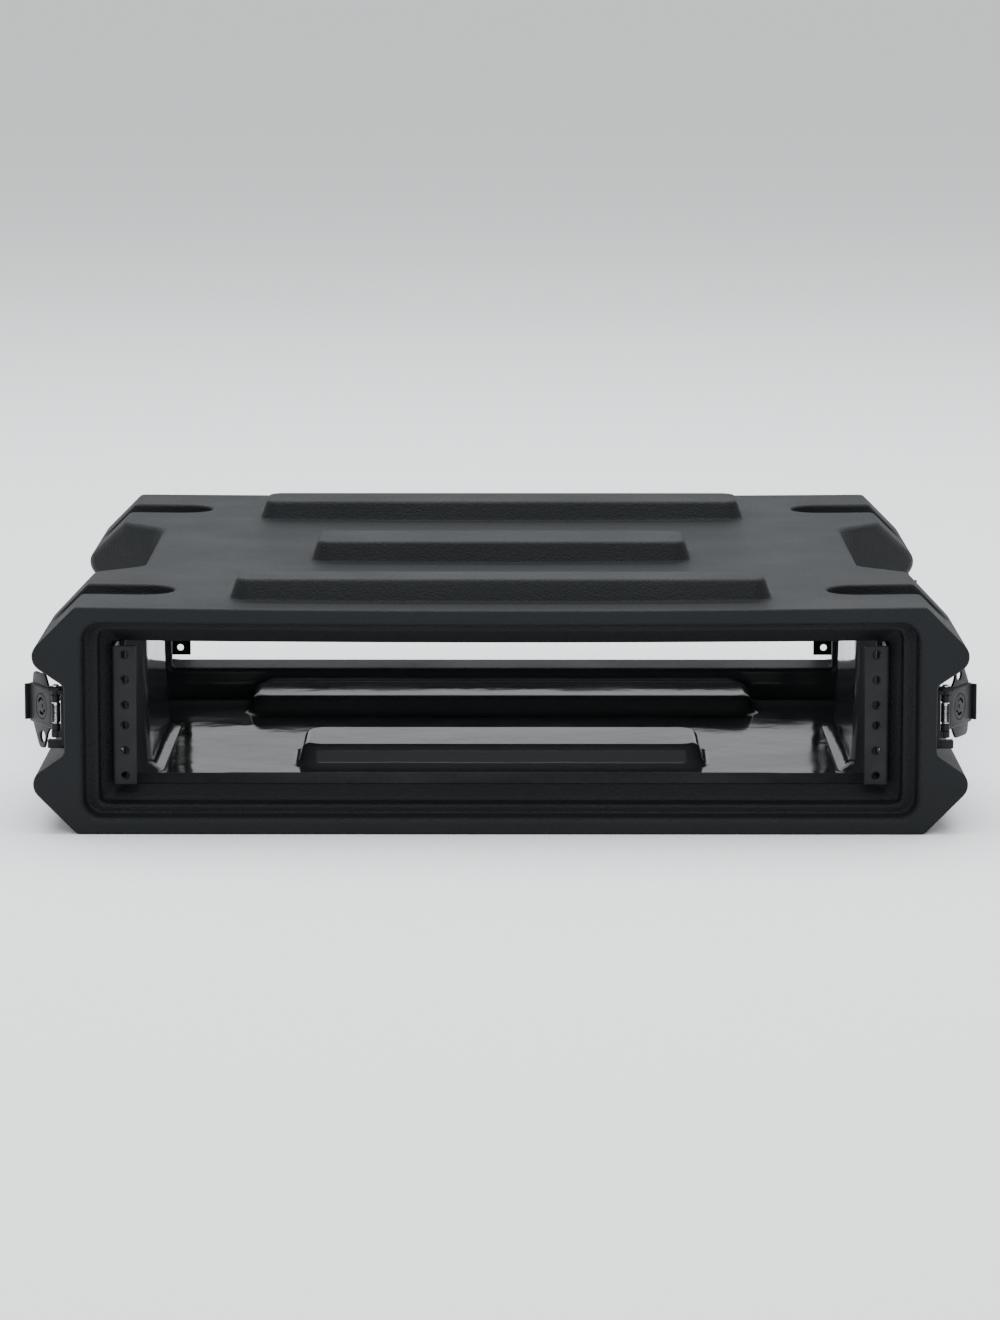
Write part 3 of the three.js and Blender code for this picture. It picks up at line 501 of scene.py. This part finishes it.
def finished(name, pieces, matrix, material, body, nodes):
    """One object from several pieces, placed by a matrix in millimetres, riding on its body."""
    verts, faces = [], []
    for piece_verts, piece_faces in pieces:
        start = len(verts)
        verts.extend((matrix @ Vector(v)) * MM for v in piece_verts)
        faces.extend(tuple(start + i for i in face) for face in piece_faces)
    mesh = bpy.data.meshes.new(name)
    mesh.from_pydata(verts, [], faces)
    shape = bmesh.new()
    shape.from_mesh(mesh)
    bmesh.ops.remove_doubles(shape, verts=shape.verts, dist=1e-6)
    bmesh.ops.recalc_face_normals(shape, faces=shape.faces)
    shape.to_mesh(mesh)
    shape.free()
    mesh.shade_smooth()
    mesh.set_sharp_from_angle(angle=math.radians(32))
    mesh.materials.append(material)
    obj = link_mesh(name, mesh)
    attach(obj, body)
    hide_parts(*nodes)
    return obj


def as_object(piece):
    mesh = bpy.data.meshes.new("piece")
    mesh.from_pydata([tuple(v) for v in piece[0]], [], piece[1])
    shape = bmesh.new()
    shape.from_mesh(mesh)
    bmesh.ops.remove_doubles(shape, verts=shape.verts, dist=1e-3)
    bmesh.ops.recalc_face_normals(shape, faces=shape.faces)
    shape.to_mesh(mesh)
    shape.free()
    return link_mesh("piece", mesh)


def carved(piece, *tools):
    """A piece with closed tools cut out of it."""
    target = as_object(piece)
    cutters = [as_object(tool) for tool in tools]
    for cutter in cutters:
        cut = target.modifiers.new("cut", "BOOLEAN")
        cut.operation = "DIFFERENCE"
        cut.solver = "EXACT"
        cut.object = cutter
    graph = bpy.context.evaluated_depsgraph_get()
    mesh = bpy.data.meshes.new_from_object(target.evaluated_get(graph))
    verts = [v.co.copy() for v in mesh.vertices]
    faces = [tuple(p.vertices) for p in mesh.polygons]
    for obj in [target] + cutters:
        old = obj.data
        bpy.data.objects.remove(obj)
        bpy.data.meshes.remove(old)
    bpy.data.meshes.remove(mesh)
    return verts, faces


def ring(inner, outer, low, high, edge, sides=32):
    """A hollow barrel about Z with broken edges."""
    return lathe([(inner, low), (outer - edge, low), (outer, low + edge), (outer, high - edge),
                  (outer - edge, high), (inner, high)], sides, closed=True)


def moved(x, y, z, piece):
    return placed(Matrix.Translation((x, y, z)), piece)


# ---- Rack rails and bolts, for the front right corner, with Y as depth from the rim ----
UNIT = 44.45
RACK_HOLE_X = 232.55
RACK_HOLE_STEPS = (6.35, 22.225, 38.1)
RACK_HOLE_R = 2.4
RAIL_HALF = 43.5
RAIL_X = (225.2, 238.3, 240.3)
RAIL_Y = (20.0, 22.0, 56.0)
BOLT_DEPTH = 42.0
BOLT_Z = (MID - 24.0, MID + 24.0)
BOLT_HEAD_X = 238.0


def rail_pieces():
    inner, inside, outside = RAIL_X
    face, back, end = RAIL_Y
    section = rounded([(inner, face, 0.4), (outside, face, 2.2), (outside, end, 0.5), (inside, end, 0.5),
                       (inside, back, 0.5), (inner, back, 0.4)], 4)
    body = plate([section], MID - RAIL_HALF, MID + RAIL_HALF, 0.3)
    countersink = lathe([(RACK_HOLE_R + 0.75, -0.2), (RACK_HOLE_R, 0.45), (RACK_HOLE_R, 3.0)], 24)
    tools = []
    for unit in (-UNIT, 0):
        for step in RACK_HOLE_STEPS:
            sunk = placed(ALONG_Y, countersink)
            tools.append(moved(RACK_HOLE_X, face, MID + unit + step, sunk))
    for z in BOLT_Z:
        bore = placed(ALONG_X, lathe([(2.8, -1), (2.8, 4)], 24))
        tools.append(moved(inside, BOLT_DEPTH, z, bore))
    return [carved(body, *tools)]


def bolt_pieces():
    head = lathe([(1.0, -2.6), (3.0, -2.6), (3.9, -2.2), (4.4, -1.3), (4.6, -0.3), (4.45, 0.0), (2.5, 0.0),
                  (2.5, 17.5), (2.0, 18.0), (0.5, 18.0)])
    socket = lathe([(1.9, -3.0), (1.9, -1.0)], 6)
    return [placed(ALONG_X, carved(head, socket))]


# ---- Latch, for the front right corner, with its hinge axis as Z ----
LATCH_HINGE = (274.5, 14.0, 74.0)
LATCH_LEAN = math.radians(30)
FLAP_RAISE = 1.0
BASE_X = (-5.8, -4.0)
BASE_Y = (-6.0, 30.0)
BASE_Z = (-22.1, 16.2)
BASE_FOOT_TOP = -17.0
BASE_HEAD_LOW = 13.8
BASE_FRONT = 5.0
KNUCKLE_R = 2.9
PIN_R = 1.2
BASE_KNUCKLE = (11.3, 15.5)
FLAP_KNUCKLE = (7.0, 11.0)
RIVET_Y = 17.0
RIVET_Z = (-15.0, 14.0)
FLAP_X = (-3.2, 1.2)
FLAP_Y = (4.6, 37.5)
FLAP_HALF = 12.3
SLOT_X = (-1.6, 0.2)
SLOT_HALF = 9.4
EAR_X = (-1.8, -0.2)
EAR_ROOT = 11.0
LONG_EAR = 27.0
SHORT_EAR = 20.0
PADLOCK = (21.0, 19.7, 3.6)
TURN_U = 19.0
DISC_R = 7.8
SPINDLE_R = 3.0
SPRING_R = 1.95
SPRING_WIRE = 0.38
LATCH_RIVET_GRIP = 7.5


def base_pieces():
    low, high = BASE_Z
    holes = [circle(RIVET_Y, z, 1.9, 20) for z in RIVET_Z]
    pieces = [
        sheet_x([rectangle(*BASE_Y, low, high, 3.0)] + holes, *BASE_X, 0.3),
        bevelled_box(BASE_X[0] + 1, BASE_FRONT, -KNUCKLE_R, KNUCKLE_R, low, BASE_FOOT_TOP, 0.5),
    ]
    pieces.append(bevelled_box(BASE_X[1] - 0.5, -3.15, -2.4, 2.4, -BASE_KNUCKLE[0], BASE_KNUCKLE[0], 0.3))
    bore = lathe([(PIN_R + 0.3, 5.0), (PIN_R + 0.3, 30.0)], 24)
    head = bevelled_box(BASE_X[0] + 1, BASE_FRONT, -KNUCKLE_R, KNUCKLE_R, BASE_HEAD_LOW, high, 0.5)
    pieces.append(carved(head, bore))
    # A rolled cover hides the springs, except in a narrow window facing the rim.
    pieces.append(plate([arc_slot(0, 0, 2.68, 0.3, -68, 248, 40)], -5.8, 5.8, 0.1))
    for side in (-1, 1):
        z0, z1 = sorted(side * z for z in BASE_KNUCKLE)
        pieces.append(ring(PIN_R + 0.3, KNUCKLE_R, z0, z1, 0.3))
        pieces.append(bevelled_box(BASE_X[0] + 0.5, -1.6, -KNUCKLE_R, KNUCKLE_R, z0, z1, 0.3))
    return pieces


def pin_pieces():
    core = lathe([(0.4, -15.8), (1.0, -15.8), (PIN_R, -15.5), (PIN_R, 16.5), (2.2, 16.5), (2.2, 17.0),
                  (1.8, 17.45), (0.4, 17.5)], 24)
    sleeves = [ring(PIN_R, 2.45, low, high, 0.25) for low, high in ((-6.7, -5.9), (-1.0, -0.4), (4.4, 6.7))]
    return [core] + sleeves


def spring_pieces():
    return [coil(SPRING_R, SPRING_WIRE, *span, 4) for span in ((-5.4, -1.3), (-0.1, 4.0))]


def flap_pieces(up):
    x0, x1 = FLAP_X
    y0, y1 = FLAP_Y
    block = sheet_x([rectangle(y0, y1, -FLAP_HALF, FLAP_HALF, 1.5)], x0, x1, 0.75)
    slot = placed(FACING_X, plate([rectangle(8.0, y1 + 2, -SLOT_HALF, SLOT_HALF)], *SLOT_X, 0.01))
    disc_bore = lathe([(DISC_R + 0.3, SLOT_X[0] + 0.1), (DISC_R + 0.3, x1 - 0.35),
                       (DISC_R + 0.9, x1 + 0.3)], 48)
    spindle_bore = lathe([(SPINDLE_R + 0.3, x0 - 1), (SPINDLE_R + 0.3, SLOT_X[0] + 0.5)], 32)
    turned = [moved(0, TURN_U, 0, placed(ALONG_X, bore)) for bore in (disc_bore, spindle_bore)]
    pieces = [carved(block, slot, *turned)]
    way = 1 if up else -1
    padlock_u, padlock_z, padlock_r = PADLOCK
    long_ear = rounded([
        (9, way * EAR_ROOT, 0), (9.6, way * 12.3, 0), (14, way * 16.3, 6), (19, way * LONG_EAR, 4),
        (26, way * LONG_EAR, 4), (31, way * 19.3, 6), (35.6, way * 12.3, 0), (36, way * EAR_ROOT, 0)])
    short_ear = rounded([
        (11, -way * EAR_ROOT, 0), (11.3, -way * 12.3, 0), (17, -way * SHORT_EAR, 4),
        (34, -way * SHORT_EAR, 4), (35.6, -way * 12.3, 0), (36, -way * EAR_ROOT, 0)])
    hole = circle(padlock_u, way * padlock_z, padlock_r)
    pieces.append(sheet_x([long_ear, hole], *EAR_X, 0.35))
    pieces.append(sheet_x([short_ear], *EAR_X, 0.35))
    for side in (-1, 1):
        z0, z1 = sorted(side * z for z in FLAP_KNUCKLE)
        z0, z1 = z0 - FLAP_RAISE, z1 - FLAP_RAISE
        pieces.append(ring(PIN_R + 0.3, KNUCKLE_R, z0, z1, 0.3))
        pieces.append(bevelled_box(-1.9, 0.9, 1.7, y0 + 1, z0, z1, 0.25))
    return pieces


def hook_pieces():
    room = SPINDLE_R + 0.3
    # The slot is open towards the hinge, so that the plate slides outwards past the spindle.
    outline = rounded([
        (14.6, -9, 0.5), (38.6, -9, 0.5), (38.6, 9, 0.5), (14.6, 9, 0.5),
        (14.6, room, 0.3), (TURN_U + room, room, 1.0), (TURN_U + room, -room, 1.0), (14.6, -room, 0.3),
    ], 5)
    return [
        sheet_x([outline], -1.3, -0.1, 0.15),
        bevelled_box(-1.3, 3.6, 37.8, 39.5, -11.3, 11.3, 0.4),
    ]


def turn_pieces():
    slots = [arc_slot(TURN_U, 0, 4.7, 1.7, start, start + 105) for start in (20, 200)]
    disc = sheet_x([circle(TURN_U, 0, DISC_R, 48)] + slots, 0.5, 1.1, 0.15)
    spindle = lathe([(0.5, -4.2), (2.8, -4.2), (SPINDLE_R, -4.0), (SPINDLE_R, 0.7), (0.5, 0.7)], 32)
    stub = lathe([(0.4, 0.9), (1.5, 0.9), (1.5, 1.3), (1.2, 1.5), (0.4, 1.5)], 24)
    wing = sheet_x([rectangle(TURN_U - 10.5, TURN_U + 10.5, -5.5, 5.5, 3.5)], -5.2, -3.5, 0.6)
    grip = sheet_x([rectangle(TURN_U - 9, TURN_U + 9, -1.1, 1.1, 1.0)], -7.6, -4.7, 0.5)
    return [disc, wing, grip] + [moved(0, TURN_U, 0, placed(ALONG_X, part)) for part in (spindle, stub)]


def rivet_pieces(grip):
    return [placed(ALONG_X, lathe([
        (0.4, 1.5), (1.3, 1.4), (2.3, 1.05), (2.95, 0.5), (3.2, 0.0), (1.6, 0.0), (1.6, -grip), (0.4, -grip),
    ], 28))]


# ---- Handle, for the right side ----
PIVOT = (250.4, 96.0)
PLATE_X = (236.7, 238.7)
PLATE_HALF = 64.0
PLATE_Z = (36.0, 106.0)
EAR_Y = (50.0, 53.0)
BAIL_R = 3.5
BAIL_DROP = 42.0
BAIL_HALF = 42.0
BAIL_BEND = 9.0
GRIP_R = 9.5
GRIP_HALF = 32.0
HANDLE_RIVETS = (-54.0, 54.0)
HANDLE_RIVET_Z = 46.0
HANDLE_RIVET_GRIP = 7.7
HANDLE_SPRING_Y = 55.6


def handle_plate_pieces():
    holes = [circle(y, HANDLE_RIVET_Z, 1.9, 20) for y in HANDLE_RIVETS]
    pieces = [sheet_x([rectangle(-PLATE_HALF, PLATE_HALF, *PLATE_Z, 8.0)] + holes, *PLATE_X, 0.4)]
    x, z = PIVOT
    tip = x + 6.5
    root = PLATE_X[1] - 1
    outline = rounded([(root, z - 9, 0), (tip, z - 6, 5), (tip, z + 6, 5), (root, z + 9, 0)])
    bore = circle(x, z, BAIL_R + 0.3)
    for low, high in (EAR_Y, (-EAR_Y[1], -EAR_Y[0])):
        pieces.append(placed(FACING_Y, plate([outline, bore], -high, -low, 0.35)))
    return pieces


def bail_pieces():
    stub = EAR_Y[1] + 3
    corners = [(-stub, 0), (-BAIL_HALF, 0), (-BAIL_HALF, -BAIL_DROP), (BAIL_HALF, -BAIL_DROP), (BAIL_HALF, 0),
               (stub, 0)]
    path = [Vector(corners[0])]
    for i in range(1, len(corners) - 1):
        here = Vector(corners[i])
        start = here + (Vector(corners[i - 1]) - here).normalized() * BAIL_BEND
        stop = here + (Vector(corners[i + 1]) - here).normalized() * BAIL_BEND
        for k in range(9):
            t = k / 8
            path.append(start * (1 - t) ** 2 + here * (2 * t * (1 - t)) + stop * t ** 2)
    path.append(Vector(corners[-1]))
    return [tube([(0, y, z) for y, z in path], BAIL_R, 20)]


def grip_pieces():
    profile = [(BAIL_R + 0.3, -GRIP_HALF), (GRIP_R - 2.2, -GRIP_HALF), (GRIP_R - 0.8, -GRIP_HALF + 0.8)]
    profile.append((GRIP_R, -GRIP_HALF + 2.2))
    bands = 12
    pitch = (2 * GRIP_HALF - 8) / bands
    for k in range(bands):
        start = -GRIP_HALF + 4 + k * pitch
        for share, radius in ((0.0, GRIP_R), (0.12, GRIP_R - 0.8), (0.4, GRIP_R - 0.8), (0.52, GRIP_R)):
            profile.append((radius, start + share * pitch))
    profile += [(GRIP_R, GRIP_HALF - 2.2), (GRIP_R - 0.8, GRIP_HALF - 0.8), (GRIP_R - 2.2, GRIP_HALF)]
    profile.append((BAIL_R + 0.3, GRIP_HALF))
    return [placed(ALONG_Y, lathe(profile, 40, closed=True))]


def handle_spring_pieces():
    return [placed(ALONG_Y, coil(5.1, 0.6, -1.6, 1.6, 3))]


# ---- Materials ----
def node_material(name, color, metallic=0.0, specular=0.5):
    material = bpy.data.materials.new(name)
    material.use_nodes = True
    nodes = material.node_tree.nodes
    shader = nodes["Principled BSDF"]
    shader.inputs["Base Color"].default_value = (*color, 1)
    shader.inputs["Metallic"].default_value = metallic
    shader.inputs["Specular IOR Level"].default_value = specular
    return material, nodes, material.node_tree.links, shader


def noise(nodes, links, scale, detail=2.0, stretch=None):
    coords = nodes.new("ShaderNodeTexCoord")
    source = coords.outputs["Object"]
    if stretch:
        mapping = nodes.new("ShaderNodeMapping")
        mapping.inputs["Scale"].default_value = stretch
        links.new(source, mapping.inputs["Vector"])
        source = mapping.outputs["Vector"]
    texture = nodes.new("ShaderNodeTexNoise")
    texture.inputs["Scale"].default_value = scale
    texture.inputs["Detail"].default_value = detail
    links.new(source, texture.inputs["Vector"])
    return texture.outputs["Fac"]


def ranged(nodes, links, source, low, high, start=0.0, stop=1.0):
    spread = nodes.new("ShaderNodeMapRange")
    spread.inputs["From Min"].default_value = start
    spread.inputs["From Max"].default_value = stop
    spread.inputs["To Min"].default_value = low
    spread.inputs["To Max"].default_value = high
    links.new(source, spread.inputs["Value"])
    return spread.outputs["Result"]


def mixed(nodes, links, share, color_a, color_b):
    mix = nodes.new("ShaderNodeMix")
    mix.data_type = "RGBA"
    mix.inputs["A"].default_value = (*color_a, 1)
    mix.inputs["B"].default_value = (*color_b, 1)
    links.new(share, mix.inputs["Factor"])
    return mix.outputs["Result"]


def bump(nodes, links, height, distance, strength=1.0, below=None):
    node = nodes.new("ShaderNodeBump")
    node.inputs["Distance"].default_value = distance
    if isinstance(strength, float):
        node.inputs["Strength"].default_value = strength
    else:
        links.new(strength, node.inputs["Strength"])
    links.new(height, node.inputs["Height"])
    if below:
        links.new(below, node.inputs["Normal"])
    return node.outputs["Normal"]


def shell_material():
    """Rotationally moulded polyethylene: orange-peel skin outside, glossy and wavy inside, where a much
    lighter base colour is painted light.
    """
    material, nodes, links, shader = node_material("moulded_polyethylene", (0.01, 0.011, 0.012), 0.0, 0.17)
    inside_gloss_and_painted_light = nodes.new("ShaderNodeAttribute")
    inside_gloss_and_painted_light.attribute_name = "inside_gloss_and_painted_light"
    inside = inside_gloss_and_painted_light.outputs["Fac"]
    peel = noise(nodes, links, 850, 3)
    cloud = noise(nodes, links, 14, 3)
    wave = noise(nodes, links, 9, 4)
    # Painted light: the inside gets a far lighter base colour than the outside, standing in for the little
    # light that reaches the chamber through its open ends.
    tone = mixed(nodes, links, inside, (0.0075, 0.0088, 0.0100), (0.085, 0.089, 0.094))
    links.new(tone, shader.inputs["Base Color"])
    uneven = ranged(nodes, links, cloud, -0.12, 0.12)
    base = ranged(nodes, links, inside, 0.55, 0.1)
    total = nodes.new("ShaderNodeMath")
    total.operation = "ADD"
    links.new(uneven, total.inputs[0])
    links.new(base, total.inputs[1])
    links.new(total.outputs["Value"], shader.inputs["Roughness"])
    skin = bump(nodes, links, peel, 0.0008, ranged(nodes, links, inside, 1.0, 0.0))
    links.new(bump(nodes, links, wave, 0.0015, inside, skin), shader.inputs["Normal"])
    return material


def coated_material(name, color, rough, grain, metallic=0.0, specular=0.5, depth=0.0001):
    """A fine-grained finish whose sheen and tone vary a little over the surface."""
    material, nodes, links, shader = node_material(name, color, metallic, specular)
    speckle = noise(nodes, links, grain, 3)
    cloud = noise(nodes, links, 60, 2)
    lighter = tuple(min(1.0, c * 1.35 + 0.003) for c in color)
    links.new(mixed(nodes, links, ranged(nodes, links, cloud, 0, 1, 0.35, 0.7), color, lighter),
              shader.inputs["Base Color"])
    links.new(ranged(nodes, links, speckle, rough - 0.1, rough + 0.1, 0.3, 0.7), shader.inputs["Roughness"])
    links.new(bump(nodes, links, speckle, depth, 0.6), shader.inputs["Normal"])
    return material


# ---- Camera, floor and light, in metres and watts ----
LENS = 121.6
LENS_SHIFT = -0.15
CAMERA_PLACE = (0.006, -2.9485, 0.5834)
CAMERA_AIM = (-0.00233, 1.0, -0.13053)
FLOOR_REACH = 40.0
WORLD_STRENGTH = 0.95
OVERHEAD_POWER = 134
FRONT_FILL_POWER = 54


def add_camera():
    data = bpy.data.cameras.new("camera")
    camera = bpy.data.objects.new("camera", data)
    bpy.context.scene.collection.objects.link(camera)
    data.sensor_width = 36.0
    data.lens = LENS
    data.shift_y = LENS_SHIFT
    data.clip_end = 80
    camera.location = CAMERA_PLACE
    camera.rotation_euler = Vector(CAMERA_AIM).to_track_quat("-Z", "Y").to_euler()
    bpy.context.scene.camera = camera


def add_area(name, location, target, size, power, color=(1, 1, 1)):
    data = bpy.data.lights.new(name, "AREA")
    data.shape = "RECTANGLE"
    data.size, data.size_y = size
    data.energy = power
    data.color = color
    light = bpy.data.objects.new(name, data)
    bpy.context.scene.collection.objects.link(light)
    light.location = location
    light.rotation_euler = (Vector(target) - Vector(location)).to_track_quat("-Z", "Y").to_euler()


def add_stage():
    material, nodes, links, shader = node_material("studio_floor", (0.9, 0.9, 0.9), 0.0, 0.2)
    links.new(ranged(nodes, links, noise(nodes, links, 3), 0.85, 0.95), shader.inputs["Roughness"])
    reach = FLOOR_REACH
    mesh = bpy.data.meshes.new("studio_floor")
    mesh.from_pydata([(-reach, -reach, 0), (reach, -reach, 0), (reach, reach, 0), (-reach, reach, 0)], [],
                     [(0, 1, 2, 3)])
    mesh.materials.append(material)
    link_mesh("studio_floor", mesh)
    world = bpy.data.worlds.new("studio_world")
    world.use_nodes = True
    background = world.node_tree.nodes["Background"]
    background.inputs["Color"].default_value = (0.96, 0.98, 1, 1)
    background.inputs["Strength"].default_value = WORLD_STRENGTH
    bpy.context.scene.world = world
    add_area("overhead", (0, 0.5, 2.6), (0, 0.1, 0), (3.0, 3.2), OVERHEAD_POWER, (0.93, 0.97, 1.0))
    add_area("front_fill", (0, -3.2, 2.6), (0, 0, 0.1), (2.6, 1.4), FRONT_FILL_POWER, (0.97, 0.98, 1.0))


# ---- Building everything ----
add_camera()
add_stage()
SHELL = shell_material()
RAIL = coated_material("rail_powder_coat", (0.009, 0.0095, 0.010), 0.5, 1500, 0.0, 0.2)
LATCH = coated_material("latch_black_coat", (0.006, 0.0068, 0.0076), 0.42, 1100, 0.0, 0.16)
STEEL = coated_material("zinc_plated_steel", (0.5, 0.52, 0.54), 0.3, 1400, 1.0, 0.5, 0.00004)
RUBBER = coated_material("grip_rubber", (0.011, 0.011, 0.012), 0.75, 1300, 0.0, 0.4, 0.0002)
FINISH = {"rail": RAIL, "latch": LATCH, "steel": STEEL, "grip": RUBBER}
SLOTS = {row["node"]: row["material_slot"] for row in frame["record"]["subparts"]}


def add_piece(node, pieces, matrix, body="root"):
    """Stand a detailed piece in for the CAD node of the same name."""
    slot = SLOTS[node]
    finished("look_" + node, pieces, matrix, FINISH[slot], body, [node])


shell = build_shell(SHELL)
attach(shell, "root")
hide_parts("shell")

rail, bolt = rail_pieces(), bolt_pieces()
base, pin, spring = base_pieces(), pin_pieces(), spring_pieces()
flaps = {True: flap_pieces(True), False: flap_pieces(False)}
hook, turn, latch_rivet = hook_pieces(), turn_pieces(), rivet_pieces(LATCH_RIVET_GRIP)
for side, end in product((1, -1), repeat=2):
    corner = f"{'front' if end > 0 else 'rear'}_{'right' if side > 0 else 'left'}"
    mirror = Matrix.Diagonal((side, end, 1, 1))
    from_rim = Matrix.Translation((0, -HALF_DEPTH * end, 0)) @ mirror
    add_piece(f"rack_rail_{corner}", rail, from_rim)
    for level, z in zip(("lower", "upper"), BOLT_Z):
        place = from_rim @ Matrix.Translation((BOLT_HEAD_X, BOLT_DEPTH, z))
        add_piece(f"rail_bolt_{corner}_{level}", bolt, place)
    hinge = from_rim @ Matrix.Translation(LATCH_HINGE)
    add_piece(f"latch_base_{corner}", base, hinge)
    add_piece(f"latch_pin_{corner}", pin, hinge)
    add_piece(f"latch_spring_{corner}", spring, hinge)
    for level, z in zip(("lower", "upper"), RIVET_Z):
        place = hinge @ Matrix.Translation((BASE_X[1] + 0.3, RIVET_Y, z))
        add_piece(f"latch_rivet_{corner}_{level}", latch_rivet, place)
    opened = hinge @ Matrix.Translation((0, 0, FLAP_RAISE)) @ Matrix.Rotation(-LATCH_LEAN, 4, "Z")
    add_piece(f"latch_flap_{corner}", flaps[side * end > 0], opened, f"flap_{corner}")
    add_piece(f"latch_hook_{corner}", hook, opened, f"hook_{corner}")
    add_piece(f"latch_thumb_turn_{corner}", turn, opened, f"turn_{corner}")

handle_plate, bail, grip = handle_plate_pieces(), bail_pieces(), grip_pieces()
handle_spring, handle_rivet = handle_spring_pieces(), rivet_pieces(HANDLE_RIVET_GRIP)
for side, name in ((1, "right"), (-1, "left")):
    mirror = Matrix.Diagonal((side, 1, 1, 1))
    pivot = mirror @ Matrix.Translation((PIVOT[0], 0, PIVOT[1]))
    add_piece(f"handle_plate_{name}", handle_plate, mirror)
    add_piece(f"handle_bail_{name}", bail, pivot, f"handle_{name}")
    add_piece(f"handle_grip_{name}", grip, pivot @ Matrix.Translation((0, 0, -BAIL_DROP)), f"handle_{name}")
    for place, y in (("front", -1), ("rear", 1)):
        beside_ear = Matrix.Translation((0, HANDLE_SPRING_Y * y, 0))
        add_piece(f"handle_spring_{name}_{place}", handle_spring, pivot @ beside_ear)
        on_plate = Matrix.Translation((PLATE_X[1] + 0.3, HANDLE_RIVETS[1] * y, HANDLE_RIVET_Z))
        add_piece(f"handle_rivet_{name}_{place}", handle_rivet, mirror @ on_plate)
